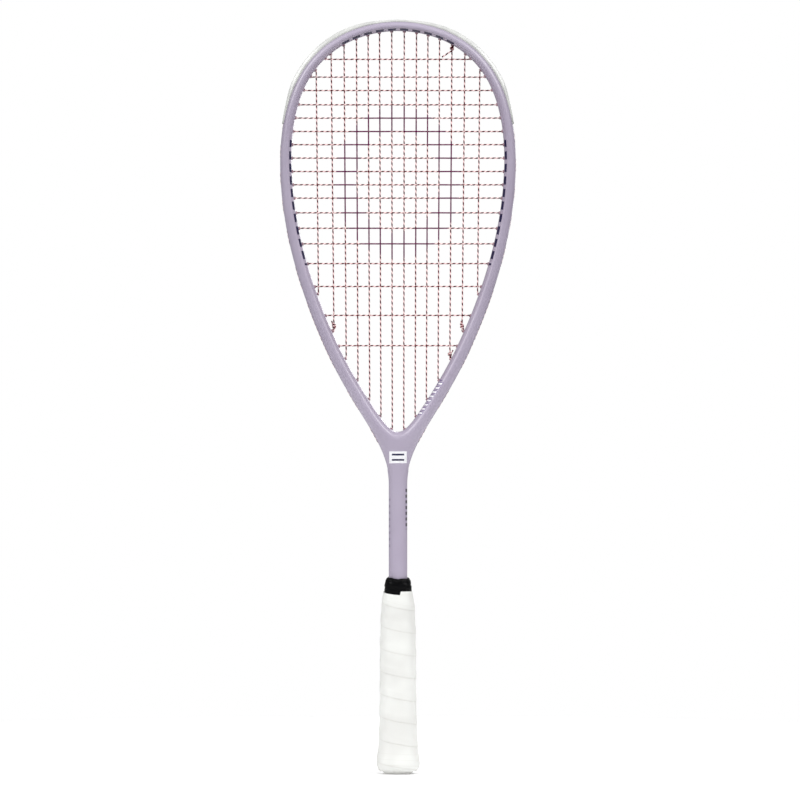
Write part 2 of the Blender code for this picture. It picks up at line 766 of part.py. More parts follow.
def add_pallet(name, side, material, parent):
    """One of the two foam halves round the shaft, from inside the butt cap to the shoulder."""
    foot_inset = CAP_INSET + CAP_WALL + GAP
    shoulder = CAP_TOP + GAP
    stations = [(z, foot_inset) for z in heights_between(CAP_FLOOR + GAP, shoulder)]
    stations += [(z, CAP_INSET) for z in heights_between(shoulder, PALLET_TOP)]
    turn = GRIP_SIDES // 4
    run = [(k - turn) % GRIP_SIDES for k in range(GRIP_SIDES // 2 + 1)]
    loops = []
    for z, inset in stations:
        outer = layer_loop(z, inset)
        inner = shaft_loop(z, GAP)
        loop = [outer[k] for k in run] + [inner[k] for k in reversed(run)]
        loops.append([(side * max(x, GAP / 2), y, at) for x, y, at in loop])
    return add_piece(name, *skin_loops(loops), material, parent)


def add_butt_cap(material, parent):
    """Moulded cup over the foot of the handle, flared on the outside."""
    butt = [grip_loop(0.0, BUTT_HALF_WIDTH, BUTT_HALF_WIDTH - DEPTH_LESS)]
    outer = layer_loops(GRIP_PROFILE[0][0], CAP_TOP, CAP_INSET)
    inner = layer_loops(CAP_FLOOR, CAP_TOP, CAP_INSET + CAP_WALL)
    return add_piece("butt_cap", *skin_loops(butt + outer + inner[::-1]), material, parent)


def add_base_grip(material, parent):
    """Cushion grip round the foam, stepped in at its top where the finishing tape covers it."""
    plain = OVERGRIP + GAP
    foot = GRIP_PROFILE[0][0]
    outer = layer_loops(foot, TAPE_BOTTOM - GAP, plain)
    outer += layer_loops(TAPE_BOTTOM - GAP, BASE_GRIP_TOP, plain + TAPE + GAP)
    inner = layer_loops(foot, BASE_GRIP_TOP, plain + BASE_GRIP)
    loops = outer + inner[::-1]
    return add_piece("base_grip", *skin_loops(loops, cyclic=True), material, parent)


def add_finishing_tape(material, parent):
    """Tape that closes the top of the grip and tapers down onto the shaft."""
    plain = OVERGRIP + GAP
    step = BASE_GRIP_TOP + GAP
    outer = layer_loops(TAPE_BOTTOM, OVERGRIP_TOP + GAP, plain)
    outer += layer_loops(OVERGRIP_TOP + GAP, TAPE_TOP, TAPE_SETBACK)
    inner = layer_loops(TAPE_BOTTOM, step, plain + TAPE)
    inner += layer_loops(step, PALLET_TOP + GAP, CAP_INSET - GAP)
    inner += [shaft_loop(z, GAP) for z in (PALLET_TOP + GAP, TAPE_TOP)]
    loops = outer + inner[::-1]
    return add_piece("finishing_tape", *skin_loops(loops, cyclic=True), material, parent)


def add_overgrip(material, parent):
    """Outer wrap of the handle."""
    foot = GRIP_PROFILE[0][0]
    loops = layer_loops(foot, OVERGRIP_TOP, 0.0) + layer_loops(foot, OVERGRIP_TOP, OVERGRIP)[::-1]
    return add_piece("overgrip", *skin_loops(loops, cyclic=True), material, parent)


def add_frame(holes, material, parent):
    """Hollow moulded tube: hoop, throat and shaft in one, drilled for the strings."""
    frame = add_piece("frame", *frame_shell(), material, parent)
    mirror = frame.modifiers.new("other_half", "MIRROR")
    mirror.merge_threshold = 0.0001
    wall = frame.modifiers.new("wall", "SOLIDIFY")
    wall.thickness = WALL * MM
    wall.offset = -1.0
    wall.use_even_offset = True
    rods = [hole_rod(hole, HOLE_RADIUS, *HOLE_REACH) for hole in holes]
    rods += [mirror_shell(rod) for rod in rods]
    add_boolean(frame, add_tool("string_holes", *merge_shells(rods)), "DIFFERENCE")


def add_strings(heads, feet, crosses, material, parent):
    """One string for the mains and one for the crosses, each whole from knot to knot."""
    half = rounded_path(main_path(heads, feet))
    mains = half + [(-x, z) for x, z in reversed(half)]
    add_piece("main_string", *string_mesh(mains, MAIN_PLANE_Y, 1), material, parent)
    path = rounded_path(cross_path(crosses, heads, feet))
    add_piece("cross_string", *string_mesh(path, CROSS_PLANE_Y, -1), material, parent)


def main():
    clear_scene()
    racket = bpy.data.objects.new("racket", None)
    bpy.context.scene.collection.objects.link(racket)

    lacquer = plain_material("lavender_lacquer", (0.52, 0.45, 0.57), 0.35)
    clear_nylon = plain_material("clear_nylon", (0.80, 0.81, 0.79), 0.3)
    string_fibre = plain_material("string_fibre", (0.55, 0.22, 0.26), 0.4)
    foam = plain_material("handle_foam", (0.62, 0.50, 0.30), 0.8)
    cap_plastic = plain_material("cap_plastic", (0.80, 0.80, 0.78), 0.45)
    cushion = plain_material("cushion_wrap", (0.03, 0.03, 0.03), 0.7)
    tape = plain_material("black_tape", (0.01, 0.01, 0.01), 0.25)
    wrap = plain_material("white_wrap", (0.90, 0.91, 0.88), 0.75)

    heads, feet = main_holes()
    crosses = cross_holes()
    holes = heads + feet + crosses
    add_frame(holes, lacquer, racket)
    add_bumper(holes, clear_nylon, racket)
    add_strips("grommet_strip", holes, SIDE_STRIP, clear_nylon, racket)
    add_strips("throat_grommets", holes, THROAT_STRIP, clear_nylon, racket)
    add_strings(heads, feet, crosses, string_fibre, racket)

    add_pallet("handle_pallet_right", 1, foam, racket)
    add_pallet("handle_pallet_left", -1, foam, racket)
    add_butt_cap(cap_plastic, racket)
    add_base_grip(cushion, racket)
    add_finishing_tape(tape, racket)
    add_overgrip(wrap, racket)


main()
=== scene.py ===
"""The finished look of a squash racket: lacquered teardrop frame, milky bumper, woven strings
and a wrapped handle.  Lengths are in millimetres until a mesh is made.  z = 0 is the butt, +Z runs to
the head and the front of the string bed faces -Y.
"""
import math

import bmesh
import bpy
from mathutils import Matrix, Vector, noise


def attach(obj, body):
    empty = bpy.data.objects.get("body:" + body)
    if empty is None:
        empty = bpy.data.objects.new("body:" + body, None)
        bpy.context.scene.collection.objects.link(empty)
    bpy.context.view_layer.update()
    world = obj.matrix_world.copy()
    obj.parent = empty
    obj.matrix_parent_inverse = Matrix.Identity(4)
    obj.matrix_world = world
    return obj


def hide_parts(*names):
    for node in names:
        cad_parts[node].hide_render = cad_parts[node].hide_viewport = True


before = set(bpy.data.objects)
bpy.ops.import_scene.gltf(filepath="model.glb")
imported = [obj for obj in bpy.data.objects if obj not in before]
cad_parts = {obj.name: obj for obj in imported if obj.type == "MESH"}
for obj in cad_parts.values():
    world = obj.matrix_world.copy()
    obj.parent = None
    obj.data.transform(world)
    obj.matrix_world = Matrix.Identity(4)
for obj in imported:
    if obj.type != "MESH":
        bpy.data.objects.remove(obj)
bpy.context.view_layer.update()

MM = 0.001

# ---- sizes shared with the solid model (mm) ----
HEAD_TOP = 684.0
HALF_WIDTH = 107.5
WIDEST_Z = 554.9
SHAFT_HALF_WIDTH = 8.4
SHAFT_HALF_DEPTH = 9.6
HANDLE_SHAFT_HALF_DEPTH = 8.3
ARM_HALF_DEPTH = 10.0
HEAD_HALF_DEPTH = 9.25
FRAME_FOOT = 5.6
OUTER_KNOTS = (
    (0.0, HEAD_TOP, 0.0, 0.0, 28.7),
    (HALF_WIDTH, WIDEST_Z, -90.0, 117.9, 72.1),
    (69.8, 394.1, -113.1, 24.8, 74.0),
    (SHAFT_HALF_WIDTH, 262.6, -90.0, 39.5, 0.0),
)
TUBE_WIDTHS = ((0.0, 8.6), (0.7, 9.3), (1.05, 11.1), (2.0, 12.2), (3.0, 13.5))
CROTCH_Z = 309.6
CROTCH_SWELL = 7.2
CROTCH_RATE = 11.0
CROTCH_SHARE = 0.657
SADDLE_DROP = 8.5
CHANNEL_DEPTH = 2.9
CHANNEL_LIP = 3.9
CHANNEL_END_Z = 288.0
CHANNEL_FADE = 14.0
STRING_RADIUS = 0.625
MAIN_PLANE_Y = 0.8
CROSS_PLANE_Y = -0.8
MAIN_TOP_X = (5.7, 16.8, 27.2, 37.8, 49.1, 60.9, 74.7)
MAIN_BOTTOM_X = (5.3, 15.7, 25.9, 36.5, 47.1, 58.7, 71.7)
MAIN_TOP_Z = 664.0
MAIN_BOTTOM_Z = 370.0
CROSS_Z = (649.6, 633.4, 621.2, 608.2, 596.1, 583.9, 571.9, 559.7, 547.5,
           535.4, 523.3, 509.9, 495.9, 481.7, 463.7, 442.9, 416.6, 389.0)
STRING_HEIGHT = 2.2
TIE_MAIN = 5
TIE_CROSS_TOP = 4
TIE_CROSS_BOTTOM = 4
TIE_SHIFT = 1.0
HOLE_LEAN = 0.4
BARREL_PROUD = 1.0
MOUTH = BARREL_PROUD + 0.3
BUMPER_END = 0.887
SIDE_STRIP = (0.891, 2.14)
THROAT_STRIP = (2.148, 3.22)
BUMPER_PROUD_TIP = 1.4
BUMPER_PROUD_SHOULDER = 3.4
GRIP_PROFILE = ((2.2, 17.2), (5.0, 19.2), (9.0, 20.0), (14.0, 19.6), (20.0, 18.6), (30.0, 17.7),
                (66.0, 16.8), (121.0, 16.5), (140.0, 15.9), (153.0, 15.3), (162.0, 14.0),
                (167.0, 13.0))
TAPE_PROFILE = ((149.0, 13.9), (156.0, 13.2), (164.0, 12.3), (171.0, 12.5), (175.0, 11.6),
                (177.6, 10.3))
DEPTH_LESS_PROFILE = ((140.0, 2.8), (178.0, 0.0))
OVERGRIP = 1.2
BASE_GRIP = 1.6
CAP_INSET = OVERGRIP + BASE_GRIP + 0.6
CAP_TOP = 14.0
BUTT_HALF_WIDTH = 13.0

# ---- sizes of the fine surface (mm) ----
TUBE_ROUNDNESS = 2.3  # exponent of the frame tube's oval
INNER_POINTS = 9  # points from the middle of the inner face to the ridge
OUTER_POINTS = 8  # points from the ridge to the lip of the channel
RIDGE = 0.48  # the tube is deepest at this share of its width
CHANNEL_WALL = ((3.78, 0.06), (3.66, 0.30), (3.56, 0.75), (3.44, 0.97), (3.2, 1.0),
                (1.7, 1.0), (0.0, 1.0))  # (y, share of the channel's depth)
HOOP_ROWS = (60, 32, 40)  # rows of the frame's mesh in the three spans of the hoop
THROAT_ROWS = 26
SHAFT_ROWS = (256, 248, 238, 224, 210, 200, 190, 180, 170, 160, 120, 60, FRAME_FOOT)
CROTCH_BASE_Z = 306.0  # the flat bottom of the opening is measured from here
CROTCH_FLAT = 4.6  # and lies this far above it
CROTCH_CORNER = 8  # a higher power makes its corners tighter
WEAVE_LIFT = 0.64  # strings pass this far in front of or behind the middle plane
WEAVE_STEPS = 5
STRING_SIDES = 8
BEND_RADIUS = 1.3  # of a string where it turns a corner
KNOT_START = 1.2  # from the hole's mouth to the first turn of a knot
KNOT_POINTS = 14  # points in one turn of a knot
BARREL_SIDES = 14
BARREL_PROFILE = ((1.6, 1.5), (0.55, 1.55), (0.32, 1.48), (0.22, 1.25), (0.3, 1.0), (0.6, 0.85),
                  (6.0, 0.8))  # (distance from the mouth, radius)
STRIP_ROWS = 50
BAND_CORNERS = ((0.08, -3.1), (0.95, -3.0), (0.95, 3.0), (0.08, 3.1))  # (height, y)
BUMPER_ROWS = 60
SKIRT_Y = 6.0  # the bumper's skirts reach this far to the front and back
SKIRT_SUNK = 0.25  # and their inner edge is sunk this far into the lacquer
GRIP_SQUARENESS = 2.9
GRIP_SIDES = 96
GRIP_HALF_SIZE = (16.8, 14.0)  # at the middle of the handle
WRAP_TURNS = 10
WRAP_PITCH = 20.6  # one turn of the overgrip climbs this far
WRAP_SEAM_Z = 27.0  # a seam crosses the middle of the front here
WRAP_STEP = 0.34  # thickness of the overlapping edge
WRAP_ROWS = (0.0, 0.004, 0.012, 0.03, 0.08, 0.16, 0.26, 0.30, 0.34, 0.40, 0.55, 0.75, 0.9,
             0.97, 1.0)  # shares of the pitch
WRAP_WALL = 0.7
WRAP_LOW_EDGE = 2.4  # the wrap is cut level here, round the butt
WRAP_HIGH_EDGE = 165.7  # and here at the top, where the cut sinks a little
WRAP_CUT_DROP = 3.2
WRAP_SAG = 2.4  # a seam hangs lower across the front than along an even spiral
TAPE_FOOT = 150.0
TAPE_TOP = 177.6
TAPE_ROWS = 56
TAPE_LEAVES_WRAP = (158.0, 166.0)
WRINKLE = 0.55
FINE_WRINKLE = 0.28
TAPE_EDGE_WANDER = 1.5
BASE_GRIP_SPAN = (2.3, 148.6)
BASE_GRIP_INSET = OVERGRIP + 0.3
CAP_DEPTH_LESS = 2.8
CAP_RIM = ((0.0, 0.35), (0.5, 0.35), (0.52, 0.0), (0.93, 0.0), (1.0, 0.25))  # (share, z)


# ---- small helpers ----
def lerp(a, b, share):
    return a + (b - a) * share


def smooth_step(low, high, value):
    share = min(max((value - low) / (high - low), 0.0), 1.0)
    return share * share * (3 - 2 * share)


def table_value(table, at):
    """Value read from a list of (position, value) pairs, straight between them."""
    for (a, value_a), (b, value_b) in zip(table, table[1:]):
        if at <= b:
            return lerp(value_a, value_b, max(at - a, 0.0) / (b - a))
    return table[-1][1]


def add_object(name, data):
    thing = bpy.data.objects.new(name, data)
    bpy.context.scene.collection.objects.link(thing)
    return thing


def mend_mesh(mesh, merge=False):
    """Turn every face outwards, and merge points that coincide first if asked to."""
    shell = bmesh.new()
    shell.from_mesh(mesh)
    if merge:
        bmesh.ops.remove_doubles(shell, verts=shell.verts, dist=0.000004)
        bmesh.ops.dissolve_degenerate(shell, edges=shell.edges, dist=0.000003)
    bmesh.ops.recalc_face_normals(shell, faces=shell.faces)
    shell.to_mesh(mesh)
    shell.free()


def add_piece(name, points, faces, materials, replaced=(), uvs=None):
    """Make a smooth piece from points in millimetres that rides on the racket."""
    mesh = bpy.data.meshes.new(name)
    mesh.from_pydata([(x * MM, y * MM, z * MM) for x, y, z in points], [], faces)
    if uvs:
        layer = mesh.uv_layers.new(name="course")
        for loop in mesh.loops:
            layer.data[loop.index].uv = uvs[loop.vertex_index]
    for material in materials:
        mesh.materials.append(material)
    mend_mesh(mesh)
    mesh.shade_smooth()
    piece = add_object(name, mesh)
    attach(piece, "root")
    if replaced:
        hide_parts(*replaced)
    return piece


def skin_loops(loops, cyclic=False, closed=True, caps=True):
    """Skin a run of equal loops, which may be open or closed, and cap or join the ends."""
    size = len(loops[0])
    points = [point for loop in loops for point in loop]
    faces = []
    for row in range(len(loops) if cyclic else len(loops) - 1):
        low = row * size
        high = ((row + 1) % len(loops)) * size
        for k in range(size if closed else size - 1):
            n = (k + 1) % size
            faces.append((low + k, low + n, high + n, high + k))
    if caps and not cyclic:
        faces.append(tuple(range(size)))
        faces.append(tuple(range(len(points) - size, len(points))))
    return points, faces


def merge_shells(shells):
    """Join several point and face lists into one."""
    points = []
    faces = []
    for shell_points, shell_faces in shells:
        start = len(points)
        points.extend(shell_points)
        faces.extend(tuple(start + k for k in face) for face in shell_faces)
    return points, faces


# ---- outline of the frame, as in the solid model ----
def knot_point(place):
    """Point of the outer outline: the whole part of place is the span, the rest the share."""
    span = min(int(place), len(OUTER_KNOTS) - 2)
    share = place - span
    ax, az, a_heading, _, a_handle = OUTER_KNOTS[span]
    bx, bz, b_heading, b_handle, _ = OUTER_KNOTS[span + 1]
    a_turn = math.radians(a_heading)
    b_turn = math.radians(b_heading)
    xs = (ax, ax + a_handle * math.cos(a_turn), bx - b_handle * math.cos(b_turn), bx)
    zs = (az, az + a_handle * math.sin(a_turn), bz - b_handle * math.sin(b_turn), bz)
    rest = 1 - share
    weights = (rest ** 3, 3 * rest ** 2 * share, 3 * rest * share ** 2, share ** 3)
    return (sum(w * x for w, x in zip(weights, xs)), sum(w * z for w, z in zip(weights, zs)))


def outer_point(place):
    """Outer outline.  place runs 0 to 3 round the hoop and 3 to 4 down the throat."""
    if place <= 2:
        return knot_point(place)
    if place <= 3:
        return knot_point(2 + (place - 2) * CROTCH_SHARE)
    return knot_point(2 + lerp(CROTCH_SHARE, 1.0, place - 3))


def tube_width(place):
    return table_value(TUBE_WIDTHS, place) + CROTCH_SWELL * math.exp((place - 3) * CROTCH_RATE)


def across(place):
    """Inner point, unit vector square to the outline towards its outer point, and the width."""
    ox, oz = outer_point(place)
    if place > 3:
        low = outer_point(4)[1]
        iz = lerp(low, CROTCH_Z, min(max((oz - low) / (outer_point(3)[1] - low), 0.0), 1.0))
        width = math.hypot(ox, oz - iz)
        return (0.0, iz), (ox / width, (oz - iz) / width), width
    step = 0.002
    ax, az = outer_point(max(place - step, 0.0))
    bx, bz = outer_point(place + step)
    length = math.hypot(bx - ax, bz - az)
    ux, uz = (az - bz) / length, (bx - ax) / length
    width = tube_width(place)
    return (max(ox - ux * width, 0.0), oz - uz * width), (ux, uz), width


def channel_depth(place):
    z = outer_point(place)[1]
    return CHANNEL_DEPTH * smooth_step(CHANNEL_END_Z - CHANNEL_FADE, CHANNEL_END_Z, z)


def rim_point(place, height):
    """Point at a height above the channel floor, in the plane of the strings."""
    (ix, iz), (ux, uz), width = across(place)
    reach = width - channel_depth(place) + height
    return (ix + ux * reach, iz + uz * reach)


def mouth_point(place):
    (ix, iz), (ux, uz), _ = across(place)
    return (ix - ux * MOUTH, iz - uz * MOUTH)


def half_depth(place):
    if place <= 2:
        return lerp(HEAD_HALF_DEPTH, ARM_HALF_DEPTH, smooth_step(0.5, 2.0, place))
    return lerp(ARM_HALF_DEPTH, SHAFT_HALF_DEPTH, smooth_step(3.0, 4.0, place))


def shaft_half_depth(z):
    return table_value(((160.0, HANDLE_SHAFT_HALF_DEPTH), (200.0, SHAFT_HALF_DEPTH)), z)


# ---- lacquered frame ----
def edge_curve(count):
    """Quarter oval from its edge to its ridge, as (share of its reach, share of its depth)."""
    power = 2 / TUBE_ROUNDNESS
    turns = [math.pi / 2 * k / count for k in range(count + 1)]
    return [(1 - math.cos(turn) ** power, math.sin(turn) ** power) for turn in turns]


def edge_reach(share_of_depth):
    """How far in from the edge the oval has that share of its depth."""
    return 1 - (1 - share_of_depth ** TUBE_ROUNDNESS) ** (1 / TUBE_ROUNDNESS)


def outer_side(ridge, outer, way, depth, channel):
    """Back half of a section from the ridge to the middle of the outer face."""
    rx, rz = ridge
    ox, oz = outer
    width = math.hypot(ox - rx, oz - rz)
    reach = min(width, depth * 0.95)
    lip = CHANNEL_LIP / depth
    side = []
    for k in range(1, OUTER_POINTS + 1):
        share = lerp(1.0, lip, (k / OUTER_POINTS) ** 0.8)
        back = edge_reach(share) * reach
        side.append((lerp(ox, rx, back / width), share * depth, lerp(oz, rz, back / width)))
    lip_back = edge_reach(lip) * reach
    for y, sunk in CHANNEL_WALL:
        back = edge_reach(y / depth) * reach * (1 - channel / CHANNEL_DEPTH)
        back += lip_back * (channel / CHANNEL_DEPTH) * min(1.0, 1.2 - sunk)
        back = max(back, 0.0) + channel * sunk
        side.append((ox - way[0] * back, y, oz - way[1] * back))
    return side


def inner_edge(place):
    """Inner outline of the hoop, with a flat, round-cornered bottom at the crotch."""
    (ix, iz), _, _ = across(place)
    rise = iz - CROTCH_BASE_Z
    lift = (1 + (CROTCH_FLAT / rise) ** CROTCH_CORNER) ** (1 / CROTCH_CORNER)
    return ix, CROTCH_BASE_Z + rise * lift


def hoop_ring(place):
    """Closed section of the hoop from the middle of its inner face round by the back."""
    _, (ux, uz), width = across(place)
    ix, iz = inner_edge(place)
    turn_in = smooth_step(2.5, 3.0, place)
    mx, mz = lerp(ux, 0.0, turn_in), lerp(uz, -1.0, turn_in)
    length = math.hypot(mx, mz)
    reach = lerp(RIDGE * width, SADDLE_DROP, turn_in)
    ridge = (max(ix + mx / length * reach, 0.0), iz + mz / length * reach)
    depth = half_depth(place)
    half = []
    for back, rise in edge_curve(INNER_POINTS):
        half.append((lerp(ix, ridge[0], back), rise * depth, lerp(iz, ridge[1], back)))
    half += outer_side(ridge, outer_point(place), (ux, uz), depth, channel_depth(place))
    return with_front(half)[:-1]


def with_front(back):
    """A half section from the back, followed by its mirror at the front."""
    return back + [(x, -y, z) for x, y, z in reversed(back[:-1])]


def open_row(z, outer, way, depth, channel):
    """Open half section below the crotch, from the back by way of the side to the front."""
    side = [(0.0, depth, z)] + outer_side((0.0, z), outer, way, depth, channel)
    return with_front(side)


def build_frame(lacquer):
    """Right half as closed hoop rings and open throat rows, then mirrored."""
    places = [span + k / count for span, count in enumerate(HOOP_ROWS) for k in range(count)]
    places.append(3.0)
    rings = [hoop_ring(place) for place in places]
    rings[0] = [(0.0, y, z) for _, y, z in rings[0]]
    points, faces = skin_loops(rings, caps=False)
    size = len(rings[0])
    uvs = []
    length = 0.0
    for k, place in enumerate(places):
        if k:
            length += math.dist(outer_point(place), outer_point(places[k - 1])) * MM
        uvs += [(length, min(j, size - j) * 2 / size) for j in range(size)]
    crotch = len(points) - size
    row = [crotch + k for k in range(INNER_POINTS, size - INNER_POINTS + 1)]
    rows = []
    for k in range(1, THROAT_ROWS + 1):
        place = 3 + k / THROAT_ROWS
        z = lerp(CROTCH_Z - SADDLE_DROP, outer_point(4)[1], k / THROAT_ROWS)
        rows.append(open_row(z, outer_point(place), across(place)[1], half_depth(place),
                             channel_depth(place)))
    for z in SHAFT_ROWS:
        rows.append(open_row(z, (SHAFT_HALF_WIDTH, z), (1.0, 0.0), shaft_half_depth(z), 0.0))
    for section in rows:
        start = len(points)
        points.extend(section)
        new_row = list(range(start, start + len(section)))
        for a in range(len(row) - 1):
            faces.append((row[a], row[a + 1], new_row[a + 1], new_row[a]))
        row = new_row
    faces.append(tuple(row))
    uvs += [(length, 1.0)] * (len(points) - len(uvs))
    piece = add_piece("frame_lacquered", points, faces, [lacquer], ["frame"], uvs)
    mirror = piece.modifiers.new("other_half", "MIRROR")
    mirror.merge_threshold = 0.00002
    return piece


# ---- string holes and strings ----
def main_x(number, z):
    share = (z - MAIN_BOTTOM_Z) / (MAIN_TOP_Z - MAIN_BOTTOM_Z)
    return lerp(MAIN_BOTTOM_X[number], MAIN_TOP_X[number], share)


def halve(low, high, side_of):
    """Place where side_of changes sign, found by halving."""
    sign = side_of(low) > 0
    for _ in range(40):
        middle = (low + high) / 2
        if (side_of(middle) > 0) == sign:
            low = middle
        else:
            high = middle
    return low


class StringHole:
    """Where a string leaves the hoop: its mouth, its direction and the place of its exit."""

    def __init__(self, place, string_way, plane_y):
        self.mouth = mouth_point(place)
        _, (ux, uz), _ = across(place)
        dx = ux + string_way[0] * HOLE_LEAN
        dz = uz + string_way[1] * HOLE_LEAN
        length = math.hypot(dx, dz)
        self.way = (dx / length, dz / length)
        self.plane_y = plane_y

        def side(at):
            x, z = rim_point(at, STRING_HEIGHT)
            return (x - self.mouth[0]) * self.way[1] - (z - self.mouth[1]) * self.way[0]
        low = place - 0.45 if place > 0.45 else 0.0
        self.exit_place = halve(low, min(place + 0.75, 3.95), side)

    def exit_point(self, height=STRING_HEIGHT):
        x, z = rim_point(self.exit_place, height)
        reach = (x - self.mouth[0]) * self.way[0] + (z - self.mouth[1]) * self.way[1]
        return (self.mouth[0] + self.way[0] * reach, self.mouth[1] + self.way[1] * reach)

    def beside(self, point, shift):
        return (point[0] - self.way[1] * shift, point[1] + self.way[0] * shift)


def find_holes():
    """Head and foot holes of the mains, and the holes of the crosses, on the right half."""
    heads = []
    feet = []
    for number in range(len(MAIN_TOP_X)):
        def beside(place, number=number):
            x, z = mouth_point(place)
            return x - main_x(number, z)
        heads.append(StringHole(halve(0.0, 1.0, beside), (0.0, 1.0), MAIN_PLANE_Y))
        feet.append(StringHole(halve(1.0, 2.999, beside), (0.0, -1.0), MAIN_PLANE_Y))
    crosses = []
    for level in CROSS_Z:
        def above(place, level=level):
            return mouth_point(place)[1] - level
        crosses.append(StringHole(halve(0.0, 2.999, above), (1.0, 0.0), CROSS_PLANE_Y))
    return heads, feet, crosses


def woven_run(start, end, meetings):
    """Points from one mouth to the other that pass the meetings, given as (share, level)."""
    knots = [(0.0, start[1])] + meetings + [(1.0, end[1])]
    run = []
    for (a, level_a), (b, level_b) in zip(knots, knots[1:]):
        for k in range(WEAVE_STEPS):
            t = k / WEAVE_STEPS
            share = lerp(a, b, t)
            y = lerp(level_a, level_b, (1 - math.cos(math.pi * t)) / 2)
            run.append((lerp(start[0], end[0], share), y, lerp(start[2], end[2], share)))
    return run + [end]


def weave_level(main_number, cross_number):
    """Level of a main where it meets a cross.  Mains are counted from the left."""
    return WEAVE_LIFT if (main_number + cross_number) % 2 else -WEAVE_LIFT


def main_run(number, side, foot, head):
    """A main from its foot to its head.  side is 1 on the right and -1 on the left."""
    start = (side * foot[0], MAIN_PLANE_Y, foot[1])
    end = (side * head[0], MAIN_PLANE_Y, head[1])
    counted = 7 + number if side > 0 else 6 - number
    meetings = []
    for cross_number, level in reversed(list(enumerate(CROSS_Z))):
        if foot[1] + 3 < level < head[1] - 3:
            share = (level - foot[1]) / (head[1] - foot[1])
            meetings.append((share, weave_level(counted, cross_number)))
    return woven_run(start, end, meetings)


def cross_run(number, hole):
    """A cross from right to left."""
    x, z = hole.mouth
    meetings = []
    for counted in range(13, -1, -1):
        main_number = counted - 7 if counted > 6 else 6 - counted
        side = 1 if counted > 6 else -1
        main_place = side * main_x(main_number, z)
        if abs(main_place) < x - 1.5:
            share = (x - main_place) / (2 * x)
            meetings.append((share, -weave_level(counted, number)))
    return woven_run((x, CROSS_PLANE_Y, z), (-x, CROSS_PLANE_Y, z), meetings)


def curve_past(start, corner, end, steps):
    """Points of a smooth curve from start to end that is drawn towards a corner."""
    shares = [k / steps for k in range(steps + 1)]
    return [tuple(start * (1 - t) ** 2 + corner * 2 * t * (1 - t) + end * t * t) for t in shares]


def bend(before, corner, after):
    """Round one corner of a path of 3-D points."""
    spot = Vector(corner)
    a = Vector(before) - spot
    b = Vector(after) - spot
    turn = math.pi - a.angle(b)
    reach = min(BEND_RADIUS * math.tan(turn / 2), a.length * 0.45, b.length * 0.45)
    return curve_past(spot + a.normalized() * reach, spot, spot + b.normalized() * reach, 4)


def rounded(path):
    """Round every clear corner of a path."""
    result = [path[0]]
    for before, corner, after in zip(path, path[1:], path[2:]):
        a = Vector(corner) - Vector(before)
        b = Vector(after) - Vector(corner)
        if a.length < 1e-6 or b.length < 1e-6 or a.angle(b) < math.radians(30):
            result.append(corner)
        else:
            result += bend(before, corner, after)
    return result + [path[-1]]


def outside_run(first, last, level, side):
    """String that runs in the channel from one exit to the next."""
    steps = 1 + round(abs(last - first) * 40)
    run = [rim_point(lerp(first, last, k / steps), STRING_HEIGHT) for k in range(1, steps)]
    return [(side * x, level, z) for x, z in run]


def tie_coil(centre, way_z, turns, radius, tail):
    """Wraps of a knot round a string, from the far end of its tail to the hole."""
    x, y, z = centre
    coil = []
    steps = int(turns * KNOT_POINTS)
    for k in range(steps + 1):
        turn = math.tau * turns * k / steps
        climb = way_z * (KNOT_START + 2 * STRING_RADIUS * turns * k / steps)
        coil.append((x + radius * math.cos(turn), y - radius * math.sin(turn), z + climb))
    last = coil[-1]
    for k in range(1, 6):
        coil.append(tuple(at + reach * k / 5 for at, reach in zip(last, tail)))
    return coil[::-1]


def main_half(heads, feet, side):
    """One half of the main string from its knot to the middle of the head."""
    def level(point):
        return (side * point[0], MAIN_PLANE_Y, point[1])

    def channel(first, last):
        return outside_run(first.exit_place, last.exit_place, MAIN_PLANE_Y, side)

    tie = feet[TIE_MAIN]
    knot = (side * (tie.mouth[0] - 0.7), 0.7, tie.mouth[1] + 1.2)
    path = tie_coil(knot, 1, 2.5, 1.3, (0.8 * side, -0.6, 3.2))
    path.append(level(tie.beside(tie.mouth, TIE_SHIFT)))
    path.append(level(tie.beside(tie.exit_point(), TIE_SHIFT)))
    path += channel(tie, feet[-1]) + [level(feet[-1].exit_point())]
    upward = True
    for number in reversed(range(len(feet))):
        foot = feet[number]
        head = heads[number]
        shift = -TIE_SHIFT if number == TIE_MAIN else 0.0
        foot_exit = level(foot.beside(foot.exit_point(), shift))
        run = main_run(number, side, foot.beside(foot.mouth, shift), head.mouth)
        if not upward:
            path += channel(heads[number + 1], head) + [level(head.exit_point())]
            path += run[::-1] + [foot_exit]
        else:
            if foot is not feet[-1]:
                path += channel(feet[number + 1], foot) + [foot_exit]
            path += run + [level(head.exit_point())]
        upward = not upward
    return path


def cross_whole(heads, feet, crosses):
    """The cross string from its knot at the head to its knot at the throat."""
    def level(point, side=1):
        return (side * point[0], CROSS_PLANE_Y, point[1])

    def channel(start, end, side=1):
        return outside_run(start.exit_place, end.exit_place, CROSS_PLANE_Y, side)

    first = heads[TIE_CROSS_TOP]
    x, z = first.mouth
    path = tie_coil((x, 0.0, z + 0.8), -1, 2.0, 1.45, (-10.5, -1.4, -7.0))
    path += [level(first.mouth), level(first.exit_point())] + channel(first, crosses[0])
    side = 1
    for number, hole in enumerate(crosses):
        if number:
            path += channel(crosses[number - 1], hole, side)
        path.append(level(hole.exit_point(), side))
        path += cross_run(number, hole)[::side]
        side = -side
        path.append(level(hole.exit_point(), side))
    final = feet[TIE_CROSS_BOTTOM]
    x, z = final.mouth
    path += channel(crosses[-1], final) + [level(final.exit_point()), level(final.mouth)]
    return path + tie_coil((x, 0.0, z + 1.0), 1, 2.0, 1.35, (1.5, -0.8, 2.4))[::-1]


